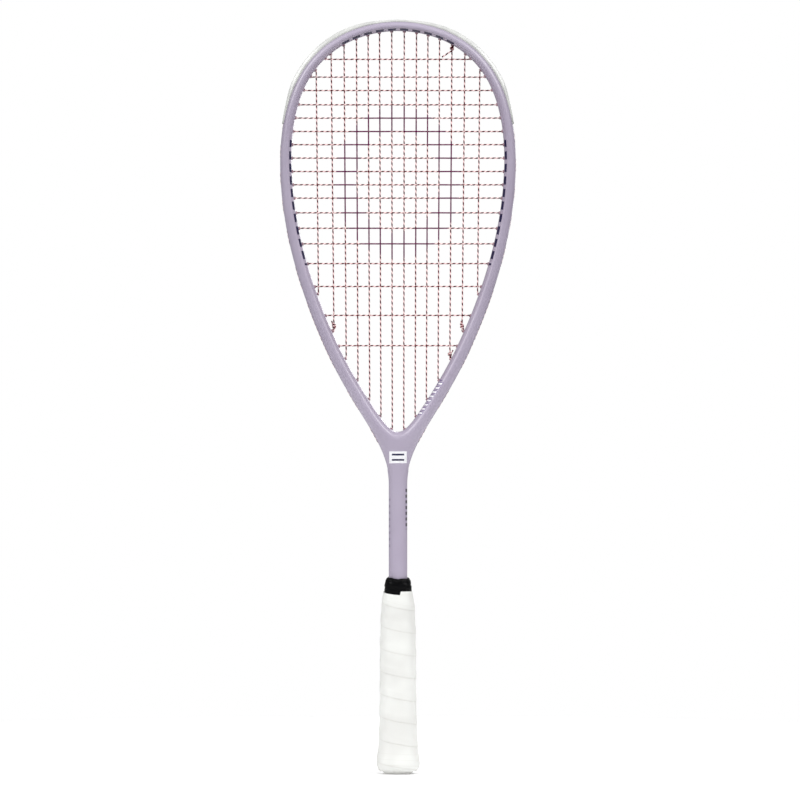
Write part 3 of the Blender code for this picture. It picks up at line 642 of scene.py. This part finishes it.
def string_tube(name, path, material, replaced):
    """Round tube along a path, with a course map of turn and of length in metres."""
    spots = [Vector(path[0])]
    for point in path[1:]:
        if (Vector(point) - spots[-1]).length > 0.05:
            spots.append(Vector(point))
    last = len(spots) - 1
    normal = Vector((0.0, 1.0, 0.0))
    length = 0.0
    rings = []
    uvs = []
    for k, spot in enumerate(spots):
        way = (spots[min(k + 1, last)] - spots[max(k - 1, 0)]).normalized()
        normal = (normal - way * normal.dot(way)).normalized()
        across_way = way.cross(normal)
        if k:
            length += (spot - spots[k - 1]).length
        ring = []
        for j in range(STRING_SIDES + 1):
            turn = math.tau * j / STRING_SIDES
            outward = normal * math.cos(turn) + across_way * math.sin(turn)
            ring.append(tuple(spot + outward * STRING_RADIUS))
            uvs.append((j / STRING_SIDES, length * MM))
        rings.append(ring)
    points, faces = skin_loops(rings, closed=False, caps=False)
    for start in (0, last * len(rings[0])):
        faces.append(tuple(range(start, start + STRING_SIDES)))
    return add_piece(name, points, faces, [material], [replaced], uvs)


# ---- bumper and grommets ----
def soften(corners, radius, steps=3):
    """Round the corners of a closed outline of (height, y) pairs."""
    outline = []
    for k, corner in enumerate(corners):
        before = Vector(corners[k - 1])
        after = Vector(corners[(k + 1) % len(corners)])
        spot = Vector(corner)
        start = spot + (before - spot).normalized() * min(radius, (before - spot).length * 0.45)
        end = spot + (after - spot).normalized() * min(radius, (after - spot).length * 0.45)
        outline += curve_past(start, spot, end, steps)
    return outline


def bumper_proud(place):
    """How far the bumper stands out: thin at the tip, thick at the shoulders, thin at its ends."""
    shoulder = smooth_step(0.05, 0.45, place)
    fade = 1 - smooth_step(0.72, BUMPER_END, place)
    return lerp(BUMPER_PROUD_TIP, BUMPER_PROUD_SHOULDER, shoulder * fade) * lerp(0.6, 1.0, fade)


def bumper_outline(place):
    """U section that lines the channel and wraps over both of its lips."""
    proud = bumper_proud(place)
    depth = half_depth(place)
    reach = tube_width(place) * (1 - RIDGE)
    floor = channel_depth(place)
    lip = floor - edge_reach(CHANNEL_LIP / depth) * reach + 0.14
    skirt = floor - edge_reach(SKIRT_Y / depth) * reach - SKIRT_SUNK
    half = [(0.08, 3.1), (lip, 3.3), (skirt, SKIRT_Y), (skirt + 0.9 + proud * 0.25, 6.1),
            (floor + proud, 4.7), (floor + proud, 2.5), (0.9, 2.0)]
    return soften(half + [(h, -y) for h, y in reversed(half)], 0.55)


def rim_loop(place, outline, side=1):
    """A closed outline of (height, y) pairs, set on the floor of the channel."""
    loop = []
    for height, y in outline:
        x, z = rim_point(place, height)
        loop.append((side * x, y, z))
    return loop


def barrel(hole, side=1):
    """Grommet barrel, from inside the channel's band to a rounded collar in the string bed."""
    band = math.dist(hole.exit_point(0.5), hole.mouth)
    loops = []
    for reach, radius in ((band, 1.45),) + BARREL_PROFILE:
        middle = (hole.mouth[0] + hole.way[0] * reach, hole.mouth[1] + hole.way[1] * reach)
        loop = []
        for k in range(BARREL_SIDES):
            turn = math.tau * k / BARREL_SIDES
            x, z = hole.beside(middle, radius * math.cos(turn))
            loop.append((side * x, hole.plane_y + radius * math.sin(turn), z))
        loops.append(loop)
    return skin_loops(loops)


def build_strip(name, holes, span, side, materials):
    places = [lerp(*span, k / STRIP_ROWS) for k in range(STRIP_ROWS + 1)]
    outline = soften(BAND_CORNERS, 0.2, 2)
    band = skin_loops([rim_loop(place, outline, side) for place in places])
    tubes = [barrel(hole, side) for hole in holes if span[0] < hole.exit_place < span[1]]
    return add_moulding(name + "_moulded", band, tubes, materials, name)


def add_moulding(name, band, tubes, materials, replaced):
    """Band and its barrels as one piece, with the barrels in the second material."""
    points, faces = merge_shells([band] + tubes)
    piece = add_piece(name, points, faces, materials, [replaced])
    for face in piece.data.polygons:
        face.material_index = 1 if face.vertices[0] >= len(band[0]) else 0
    return piece


def build_bumper(holes, materials):
    places = [BUMPER_END * k / BUMPER_ROWS for k in range(BUMPER_ROWS + 1)]
    loops = [rim_loop(place, bumper_outline(place), -1) for place in places[:0:-1]]
    loops += [rim_loop(place, bumper_outline(place)) for place in places]
    head_holes = [hole for hole in holes if hole.exit_place < BUMPER_END]
    tubes = [barrel(hole, side) for hole in head_holes for side in (1, -1)]
    return add_moulding("bumper_moulded", skin_loops(loops), tubes, materials, "bumper_guard")


# ---- handle ----
def grip_directions():
    """Evenly spaced points of the grip's rounded rectangle, as shares of its half sizes.

    The first is in the middle of the front, and they run to the right and round the back.
    """
    fine = 2000
    power = 2 / GRIP_SQUARENESS
    ring = []
    for k in range(fine + 1):
        turn = math.tau * k / fine - math.pi / 2
        c, s = math.cos(turn), math.sin(turn)
        ring.append((math.copysign(abs(c) ** power, c), math.copysign(abs(s) ** power, s)))
    lengths = [0.0]
    for (ax, ay), (bx, by) in zip(ring, ring[1:]):
        step = math.hypot((bx - ax) * GRIP_HALF_SIZE[0], (by - ay) * GRIP_HALF_SIZE[1])
        lengths.append(lengths[-1] + step)
    chosen = []
    at = 0
    for k in range(GRIP_SIDES):
        goal = lengths[-1] * k / GRIP_SIDES
        while lengths[at] < goal:
            at += 1
        chosen.append(ring[at])
    return chosen


DIRECTIONS = grip_directions()


def grip_point(number, z, inset, profile=GRIP_PROFILE):
    cx, cy = DIRECTIONS[number % GRIP_SIDES]
    half = table_value(profile, z) - inset
    return (cx * half, cy * (half - table_value(DEPTH_LESS_PROFILE, z)), z)


def grip_ring(z, inset):
    return [grip_point(k, z, inset) for k in range(GRIP_SIDES)]


def even_heights(low, high, step):
    count = max(1, round((high - low) / step))
    return [lerp(low, high, k / count) for k in range(count + 1)]


def wrap_thickness(t):
    """How far the wrap stands out, from the lower edge of a turn (0) to its upper edge (1)."""
    edge = smooth_step(-0.012, 0.012, t)
    return WRAP_STEP * edge * (1 - smooth_step(0.26, 0.40, t)) + 0.10 * smooth_step(0.9, 1.0, t)


def wrap_top(share):
    """Upper edge of the wrap: it sinks towards a cut end beside the middle of the front."""
    return WRAP_HIGH_EDGE - WRAP_CUT_DROP * smooth_step(0.66, 1.0, (share - 0.025) % 1.0)


def build_overgrip(material):
    """White wrap: one ribbon wound up the handle, each turn lying over the one below."""
    lines = []
    uvs = []
    trimmed = []
    for column in range(WRAP_TURNS * GRIP_SIDES + 1):
        share = column / GRIP_SIDES
        foot = WRAP_SEAM_Z + WRAP_PITCH * (WRAP_TURNS - 3 - share)
        foot += WRAP_SAG * (1 - math.cos(math.tau * share))
        line = []
        for row, t in enumerate((0.0,) + WRAP_ROWS):
            stands_out = wrap_thickness(t) if row else 0.0
            free_z = foot + t * WRAP_PITCH
            z = min(max(free_z, WRAP_LOW_EDGE), wrap_top(share))
            trimmed.append(z != free_z)
            sway = noise.noise(Vector((share * 2.3, z * 0.05, 4.0))) * 0.05
            line.append(grip_point(column, z, OVERGRIP * 0.25 - stands_out + sway))
            uvs.append((share, t))
        lines.append(line)
    points, faces = skin_loops(lines, closed=False, caps=False)
    faces = [face for face in faces if not all(trimmed[corner] for corner in face)]
    piece = add_piece("overgrip_wound", points, faces, [material], ["overgrip"], uvs)
    mend_mesh(piece.data, merge=True)
    piece.data.set_sharp_from_angle(angle=math.radians(50))
    wall = piece.modifiers.new("wall", "SOLIDIFY")
    wall.thickness = WRAP_WALL * MM
    wall.offset = -1.0
    return piece


def build_tape(material):
    """Black stretched tape with pulled wrinkles, from under the wrap onto the shaft."""
    outer = []
    for z in [lerp(TAPE_FOOT, TAPE_TOP, step / TAPE_ROWS) for step in range(TAPE_ROWS + 1)]:
        ring = []
        for k in range(GRIP_SIDES):
            turn = math.tau * k / GRIP_SIDES
            around = Vector((math.cos(turn), math.sin(turn), 0.0))
            pull = noise.noise(around * 1.9 + Vector((0.0, 0.0, z * 0.42 + turn * 0.3)))
            fine_pull = noise.noise(around * 5.3 + Vector((0.0, 0.0, z * 0.9)))
            edge = noise.noise(around * 2.4 + Vector((0.0, 0.0, 9.0)))
            shown = lerp(0.1, 1.0, smooth_step(*TAPE_LEAVES_WRAP, z))
            wrinkle = pull * WRINKLE + fine_pull * FINE_WRINKLE
            x, y, _ = grip_point(k, z, 0.2 - wrinkle * shown, TAPE_PROFILE)
            ring.append((x, y, z + edge * TAPE_EDGE_WANDER * smooth_step(170.0, TAPE_TOP, z)))
        outer.append(ring)
    inner = [[(x * 0.88, y * 0.88, z - 0.5) for x, y, z in outer[-1]]]
    inner += [grip_ring(z, 3.0) for z in (167.0, 160.0, TAPE_FOOT)]
    points, faces = skin_loops(outer + inner, cyclic=True)
    return add_piece("finishing_tape_pulled", points, faces, [material], ["finishing_tape"])


def build_base_grip(material):
    heights = even_heights(*BASE_GRIP_SPAN, 4.0)
    outer = [grip_ring(z, BASE_GRIP_INSET) for z in heights]
    inner = [grip_ring(z, BASE_GRIP_INSET + BASE_GRIP) for z in reversed(heights)]
    points, faces = skin_loops(outer + inner, cyclic=True)
    return add_piece("base_grip_wound", points, faces, [material], ["base_grip"])


def build_butt_cap(material):
    """Moulded cap with a rounded rim round its flat face."""
    loops = []
    for share, z in CAP_RIM:
        half = max(BUTT_HALF_WIDTH * share, 0.02)
        depth = max((BUTT_HALF_WIDTH - CAP_DEPTH_LESS) * share, 0.02)
        loops.append([(cx * half, cy * depth, z) for cx, cy in DIRECTIONS])
    loops += [grip_ring(z, CAP_INSET) for z in even_heights(2.2, CAP_TOP, 1.5)]
    points, faces = skin_loops(loops)
    return add_piece("butt_cap_moulded", points, faces, [material], ["butt_cap"])


# ---- material building blocks ----
class Value:
    """A shader socket that takes part in sums as a number does."""

    def __init__(self, socket):
        self.socket = socket
        self.tree = socket.id_data

    def __add__(self, other):
        return calc("ADD", self, other)

    def __sub__(self, other):
        return calc("SUBTRACT", self, other)

    def __rsub__(self, other):
        return calc("SUBTRACT", other, self)

    def __mul__(self, other):
        return calc("MULTIPLY", self, other)

    def __truediv__(self, other):
        return calc("DIVIDE", self, other)


def put(socket, value):
    """Link a Value to a shader input, or set a plain number or colour there."""
    if isinstance(value, Value):
        socket.id_data.links.new(value.socket, socket)
    else:
        socket.default_value = value


def add_node(tree, kind, inputs, **settings):
    """Add a node, set its properties, put its inputs, and give its outputs."""
    node = tree.nodes.new(kind)
    for key, value in settings.items():
        setattr(node, key, value)
    for key, value in inputs.items():
        put(node.inputs[key], value)
    return [Value(socket) for socket in node.outputs]


def calc(operation, a, b=0.0):
    tree = (a if isinstance(a, Value) else b).tree
    return add_node(tree, "ShaderNodeMath", {0: a, 1: b}, operation=operation)[0]


def blend_colour(share, first, second):
    """Mix two colours, each a Value or a plain colour."""
    inputs = {0: share, 6: first, 7: second}
    return add_node(share.tree, "ShaderNodeMix", inputs, data_type="RGBA")[2]


def ramp(value, low, high):
    """0 below low, 1 above high, smooth between them."""
    inputs = {"Value": value, "From Min": low, "From Max": high}
    return add_node(value.tree, "ShaderNodeMapRange", inputs, interpolation_type="SMOOTHSTEP")[0]


def inside(value, low, high, soft):
    """1 between low and high, with soft edges."""
    return ramp(value, low - soft, low + soft) * (1.0 - ramp(value, high - soft, high + soft))


def linear(red, green, blue):
    """Colour for a shader from its everyday 0 to 255 values."""
    def channel(value):
        value = value / 255
        return value / 12.92 if value <= 0.04045 else ((value + 0.055) / 1.055) ** 2.4
    return (channel(red), channel(green), channel(blue), 1.0)


def new_group(name, inputs, outputs):
    """Node group with its inputs as Values and the sockets of its outputs."""
    tree = bpy.data.node_groups.new(name, "ShaderNodeTree")
    for label, default in inputs:
        socket = tree.interface.new_socket(label, in_out="INPUT", socket_type="NodeSocketFloat")
        socket.default_value = default
    for label in outputs:
        tree.interface.new_socket(label, in_out="OUTPUT", socket_type="NodeSocketFloat")
    given = add_node(tree, "NodeGroupInput", {})[:len(inputs)]
    return tree, given, tree.nodes.new("NodeGroupOutput").inputs


def object_place(tree):
    return Value(tree.nodes.new("ShaderNodeTexCoord").outputs["Object"])


def surface_grain_group():
    """Fine grain and broad unevenness, in object space.  Scale is in bumps per metre."""
    tree, (scale, broad_scale), result = new_group(
        "surface_grain", [("Scale", 900.0), ("Broad Scale", 25.0)], ["Grain", "Unevenness"])
    place = object_place(tree)
    fine = {"Vector": place, "Scale": scale, "Detail": 3.0, "Roughness": 0.6}
    broad = {"Vector": place, "Scale": broad_scale, "Detail": 2.0}
    put(result["Grain"], add_node(tree, "ShaderNodeTexNoise", fine)[0])
    put(result["Unevenness"], add_node(tree, "ShaderNodeTexNoise", broad)[0])
    return tree


def stripe_group():
    """Marks that repeat: 1 on each mark.  Fill is the share of the pitch that a mark covers."""
    tree, (along, pitch, fill), result = new_group(
        "repeating_marks", [("Along", 0.0), ("Pitch", 0.01), ("Fill", 0.5)], ["Mark"])
    off = calc("ABSOLUTE", calc("FRACT", along / pitch) - 0.5)
    put(result["Mark"], calc("LESS_THAN", off, fill * 0.5))
    return tree


GRAIN = surface_grain_group()
MARKS = stripe_group()


def new_material(name, scale, broad):
    """Material, its tree, its shader's inputs, and a grain and an unevenness of those scales."""
    material = bpy.data.materials.new(name)
    material.use_nodes = True
    tree = material.node_tree
    inputs = {"Scale": scale, "Broad Scale": broad}
    grain, uneven = add_node(tree, "ShaderNodeGroup", inputs, node_tree=GRAIN)
    return material, tree, tree.nodes["Principled BSDF"].inputs, grain, uneven


def marks_in(along, pitch, fill):
    inputs = {"Along": along, "Pitch": pitch, "Fill": fill}
    return add_node(along.tree, "ShaderNodeGroup", inputs, node_tree=MARKS)[0]


def add_surface(shader, colour, roughness, height, strength, distance):
    """Put the colour, the roughness and the bump."""
    put(shader["Base Color"], colour)
    put(shader["Roughness"], roughness)
    bump = {"Height": height, "Strength": strength, "Distance": distance}
    put(shader["Normal"], add_node(height.tree, "ShaderNodeBump", bump)[0])


def split_vector(vector):
    """The x, y and z of a vector."""
    return add_node(vector.tree, "ShaderNodeSeparateXYZ", {"Vector": vector})


def course_parts(tree):
    """The two parts of the mesh's own map, made in add_piece."""
    return split_vector(add_node(tree, "ShaderNodeUVMap", {}, uv_map="course")[0])[:2]


# ---- materials (colours, and sizes of the marks in metres) ----
LAVENDER = linear(172, 163, 182)
LAVENDER_DEEP = linear(166, 156, 176)
FLAKE = linear(222, 214, 230)
NAVY = linear(12, 4, 60)
PLUM = linear(96, 4, 70)
WRAP_SHADE = linear(206, 204, 198)
WHITE = (1.0, 1.0, 1.0, 1.0)
EDGE = 0.0001  # softness of a printed edge

BARS_START = (0.0190, 0.3258)
BARS_HEADING = math.radians(56)
BARS_LENGTH = 0.038
BARS_HALF_HEIGHT = 0.0020
BARS_PITCH = 0.0046
BARS_LAYERS = ((0.0, 0.72), (-0.0005, 0.42))  # (how much larger, fill)
BADGE_Z = 0.2876
BADGE_HALF_SIZE = (0.0080, 0.0054)
BADGE_LINE_SPAN = (0.0016, 0.0032)  # above and below its middle
BADGE_LINE_REACH = 0.0056
DASH_PITCH = 0.0118
DASH_FILL = 0.66
DASH_SIDE_Z = (0.462, 0.576)
DASH_BAND = (0.085, 0.245)  # shares of the way round the tube from its inner face
SIDE_MARKS = ((0.0068, 0.0085), (0.222, 0.259), 0.0052, 0.55)  # x, z, pitch, fill
FAINT_MARKS = ((-0.0085, -0.0070), (0.205, 0.250), 0.0060, 0.4)
FRONT_Y = -0.003  # the front's marks lie before this plane
THREAD_TURN = 0.0051  # length of string in one turn of the dark thread
RING_Z = 0.538
RING_STRETCH = 1.22  # its height over its width
RING_SPAN = (0.038, 0.057)  # inner and outer half width
UNDER_WRAP_PITCH = 0.0052  # layers under the wrap near the butt show through as ridges, with painted shade along them


def slanted_bars(x, z):
    """Masks of a row of slanted bars on the right arm: their outline and their fill."""
    rise = math.sin(BARS_HEADING)
    run = math.cos(BARS_HEADING)
    from_x = x - BARS_START[0]
    from_z = z - BARS_START[1]
    along = from_x * run + from_z * rise
    aside = from_z * run - from_x * rise
    slant = along + aside * 0.5
    masks = []
    for grow, fill in BARS_LAYERS:
        tall = BARS_HALF_HEIGHT + grow
        row = inside(along, -grow, BARS_LENGTH + grow, EDGE) * inside(aside, -tall, tall, EDGE)
        masks.append(row * marks_in(slant, BARS_PITCH, fill))
    return masks


def front_badge(x, z):
    """Masks of the plain badge on the throat: its pale ground and two level lines."""
    level = z - BADGE_Z
    wide, tall = BADGE_HALF_SIZE
    ground = inside(x, -wide, wide, EDGE / 2) * inside(level, -tall, tall, EDGE / 2)
    line = inside(calc("ABSOLUTE", level), *BADGE_LINE_SPAN, EDGE / 2)
    return ground, inside(x, -BADGE_LINE_REACH, BADGE_LINE_REACH, EDGE / 2) * line


def mark_row(x, z, span_x, span_z, pitch, fill):
    """Mask of a row of short bars up the shaft."""
    row = inside(x, *span_x, EDGE) * inside(z, *span_z, EDGE)
    return row * marks_in(z, pitch, fill)


def lacquer_material():
    """Satin lavender lacquer with fine flake, navy dashes inside the hoop and printed marks."""
    material, tree, shader, grain, uneven = new_material("lavender_satin_lacquer", 2600.0, 14.0)
    x, y, z = split_vector(object_place(tree))
    wide = calc("ABSOLUTE", x)
    colour = blend_colour(ramp(uneven, 0.3, 0.7), LAVENDER_DEEP, LAVENDER)
    colour = blend_colour(ramp(grain, 0.62, 0.80) * 0.14, colour, FLAKE)

    along, facing_in = course_parts(tree)
    side_row = inside(z, *DASH_SIDE_Z, 0.0002) * calc("GREATER_THAN", wide, 0.06)
    head_row = calc("LESS_THAN", wide, 0.052) * calc("GREATER_THAN", z, 0.64)
    dashes = calc("MAXIMUM", side_row, head_row) * inside(facing_in, *DASH_BAND, 0.005)
    dashes = dashes * marks_in(along, DASH_PITCH, DASH_FILL)
    colour = blend_colour(dashes, colour, NAVY)

    front = calc("LESS_THAN", y, FRONT_Y)
    outline, fill = slanted_bars(x, z)
    colour = blend_colour(outline * front, colour, linear(96, 78, 132))
    colour = blend_colour(fill * front, colour, linear(238, 236, 242))
    ground, lines = front_badge(x, z)
    badge = blend_colour(lines, linear(236, 236, 240), NAVY)
    colour = blend_colour(ground * front, colour, badge)

    colour = blend_colour(mark_row(x, z, *SIDE_MARKS), colour, linear(40, 34, 52))
    colour = blend_colour(mark_row(x, z, *FAINT_MARKS) * 0.45, colour, linear(90, 80, 110))

    put(shader["Coat Weight"], (1.0 - dashes) * 0.35)
    put(shader["Coat Roughness"], 0.32)
    add_surface(shader, colour, uneven * 0.10 + 0.36, grain, 0.015, 0.0001)
    return material


def nylon_material(name, dark, light):
    """Milky moulded nylon, a little scuffed."""
    material, _, shader, grain, uneven = new_material(name, 1400.0, 60.0)
    colour = blend_colour(ramp(uneven, 0.35, 0.65), linear(*dark), linear(*light))
    put(shader["Coat Weight"], 0.25)
    put(shader["Coat Roughness"], 0.2)
    add_surface(shader, colour, grain * 0.22 + 0.22, grain, 0.02, 0.0001)
    return material


def string_material():
    """Pale string with a dark spiral thread, and a printed ring across the middle of the bed."""
    material, tree, shader, grain, uneven = new_material("spiral_string", 3000.0, 200.0)
    around, along = course_parts(tree)
    off = calc("ABSOLUTE", calc("FRACT", along / THREAD_TURN + around) - 0.5)
    dark = 1.0 - ramp(off, 0.205, 0.245)
    fringe = 1.0 - ramp(off, 0.26, 0.37)
    colour = blend_colour(ramp(grain, 0.3, 0.7), linear(240, 212, 210), linear(248, 226, 224))
    colour = blend_colour(fringe, colour, linear(214, 128, 136))
    colour = blend_colour(dark, colour, linear(66, 14, 20))
    x, _, z = split_vector(object_place(tree))
    rise = (z - RING_Z) / RING_STRETCH
    away = calc("SQRT", x * x + rise * rise)
    worn = ramp(uneven, 0.35, 0.6) * 0.14 + 0.86
    colour = blend_colour(inside(away, *RING_SPAN, 0.0006) * worn, colour, PLUM)
    put(shader["Specular IOR Level"], 0.08)
    add_surface(shader, colour, grain * 0.2 + 0.3, dark, 0.2, 0.00006)
    return material


def wrap_material():
    """White tacky wrap with a fine pebbled face; shade is painted under and along each overlapping
    edge and along the ridges of the hidden layers.
    """
    material, tree, shader, grain, uneven = new_material("white_tacky_wrap", 1100.0, 30.0)
    turns, across_wrap = course_parts(tree)
    place = object_place(tree)
    pebble = add_node(tree, "ShaderNodeTexVoronoi", {"Vector": place, "Scale": 850.0},
                      feature="DISTANCE_TO_EDGE")
    cells = ramp(pebble[0], 0.02, 0.18)
    colour = blend_colour(ramp(uneven, 0.3, 0.7), linear(216, 216, 213), linear(226, 227, 224))
    _, _, z = split_vector(place)
    climb = z + turns * UNDER_WRAP_PITCH
    low_layers = marks_in(climb, UNDER_WRAP_PITCH, 0.09) * calc("LESS_THAN", z, 0.0195)
    top_layer = inside(across_wrap, 0.17, 0.185, 0.002) * calc("GREATER_THAN", z, 0.138)
    layer_ridges_and_shade = calc("MAXIMUM", low_layers, top_layer)
    # Painted shade: the strip just under each overlapping edge and the rolled lower edge of each turn
    # are darkened.
    lip = 1.0 - ramp(across_wrap, 0.0, 0.02)
    colour = blend_colour(ramp(across_wrap, 0.95, 1.0) * 0.30, colour, linear(196, 192, 188))
    colour = blend_colour(lip * 0.25, colour, WRAP_SHADE)
    # Painted shade along the ridges of the hidden layers, which also lower the bump there.
    colour = blend_colour(layer_ridges_and_shade * 0.28, colour, WRAP_SHADE)
    height = cells * 0.7 + grain * 0.4 - layer_ridges_and_shade * 0.8
    add_surface(shader, colour, grain * 0.18 + 0.58, height, 0.28, 0.00012)
    return material


def tape_material():
    """Glossy black stretched tape."""
    material, _, shader, grain, uneven = new_material("black_stretched_tape", 1200.0, 90.0)
    colour = blend_colour(uneven, linear(2, 2, 3), linear(9, 9, 11))
    put(shader["Specular IOR Level"], 0.08)
    add_surface(shader, colour, uneven * 0.25 + 0.26, grain * 0.1 + uneven, 0.35, 0.0006)
    return material


def moulded_material(name, dark, light, roughness, scale):
    """Moulded foam, rubber or plastic with a fine even grain."""
    material, _, shader, grain, uneven = new_material(name, scale, 45.0)
    colour = blend_colour(uneven, linear(*dark), linear(*light))
    add_surface(shader, colour, grain * 0.2 + roughness, grain, 0.25, 0.0002)
    return material


def floor_material():
    material, _, shader, _, uneven = new_material("pale_floor", 300.0, 2.0)
    put(shader["Base Color"], blend_colour(uneven, linear(246, 246, 246), linear(250, 250, 250)))
    put(shader["Roughness"], 0.9)
    put(shader["Specular IOR Level"], 0.1)
    put(shader["Emission Color"], WHITE)
    put(shader["Emission Strength"], 0.18)
    return material


# ---- studio (metres and watts) ----
FLOOR_RADIUS = 0.9
FLOOR_SIDES = 72
FLOOR_Z = -0.0006
SOFTBOXES = (  # name, place, what it is aimed at, size and power
    ("key_softbox", (2.4, -1.8, 2.5), (0.0, 0.0, 0.42), (1.2, 1.6), 74.0),
    ("fill_softbox", (-2.5, -1.7, 2.3), (0.0, 0.0, 0.42), (1.0, 1.6), 68.0),
    ("top_softbox", (0.0, -1.0, 2.3), (0.0, 0.0, 0.2), (2.0, 1.6), 14.0),
    ("back_softbox", (0.7, 2.6, 1.1), (0.0, 0.0, 0.36), (1.4, 1.6), 24.0),
)
CAMERA_PLACE = (0.0018, -5.0, 0.3396)
VIEW_WIDTH = 0.728  # what the picture shows across, in the plane of the strings
FILM_WIDTH = 36.0


def add_softbox(name, place, aim, size, power):
    light = bpy.data.lights.new(name, "AREA")
    light.shape = "RECTANGLE"
    light.size, light.size_y = size
    light.energy = power
    lamp = add_object(name, light)
    lamp.location = place
    lamp.rotation_euler = (Vector(aim) - Vector(place)).to_track_quat("-Z", "Y").to_euler()


def build_surround():
    """White to the camera.  To the racket it is dim, and brighter above than below."""
    world = bpy.data.worlds.new("bright_surround")
    bpy.context.scene.world = world
    world.use_nodes = True
    tree = world.node_tree
    seen = Value(tree.nodes.new("ShaderNodeLightPath").outputs["Is Camera Ray"])
    way = Value(tree.nodes.new("ShaderNodeTexCoord").outputs["Generated"])
    glow = ramp(split_vector(way)[2], -0.6, 0.9) * 0.36 + 0.03
    background = tree.nodes["Background"].inputs
    put(background["Color"], WHITE)
    put(background["Strength"], calc("MAXIMUM", glow, seen))


def build_studio():
    """Pale floor, soft lights and a long lens square on to the string bed."""
    build_surround()
    floor = bpy.data.meshes.new("floor")
    turns = [math.tau * k / FLOOR_SIDES for k in range(FLOOR_SIDES)]
    ring = [(FLOOR_RADIUS * math.cos(turn), FLOOR_RADIUS * math.sin(turn), FLOOR_Z) for turn in turns]
    floor.from_pydata(ring, [], [tuple(range(FLOOR_SIDES))])
    floor.materials.append(floor_material())
    disc = add_object("floor", floor)
    for softbox in SOFTBOXES:
        add_softbox(*softbox)

    lens = bpy.data.cameras.new("long_lens")
    lens.sensor_width = FILM_WIDTH
    lens.lens = FILM_WIDTH * -CAMERA_PLACE[1] / VIEW_WIDTH
    lens.clip_end = 50.0
    camera = add_object("camera", lens)
    camera.location = CAMERA_PLACE
    camera.rotation_euler = (math.radians(90), 0.0, 0.0)
    bpy.context.scene.camera = camera
    bpy.context.scene.view_settings.view_transform = "Standard"


def main():
    build_studio()
    lacquer = lacquer_material()
    nylon = [nylon_material("milky_moulded_nylon", (192, 193, 191), (207, 208, 205)),
             nylon_material("barrel_nylon_over_string", (150, 112, 124), (176, 140, 150))]
    spiral = string_material()
    foam = moulded_material("handle_foam_cells", (196, 178, 138), (212, 196, 158), 0.7, 700.0)
    cap = moulded_material("cap_moulded_plastic", (222, 222, 218), (234, 234, 230), 0.4, 900.0)
    cushion = moulded_material("cushion_grip_rubber", (24, 24, 25), (38, 38, 40), 0.6, 800.0)

    build_frame(lacquer)
    heads, feet, crosses = find_holes()
    holes = heads + feet + crosses
    build_bumper(holes, nylon)
    for side, label in ((1, "right"), (-1, "left")):
        build_strip("grommet_strip_" + label, holes, SIDE_STRIP, side, nylon)
        build_strip("throat_grommets_" + label, holes, THROAT_STRIP, side, nylon)
    mains = main_half(heads, feet, 1) + main_half(heads, feet, -1)[::-1]
    string_tube("main_string_woven", rounded(mains), spiral, "main_string")
    across_bed = cross_whole(heads, feet, crosses)
    string_tube("cross_string_woven", rounded(across_bed), spiral, "cross_string")

    build_overgrip(wrap_material())
    build_tape(tape_material())
    build_base_grip(cushion)
    build_butt_cap(cap)
    for node in ("handle_pallet_left", "handle_pallet_right"):
        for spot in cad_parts[node].material_slots:
            spot.material = foam


main()
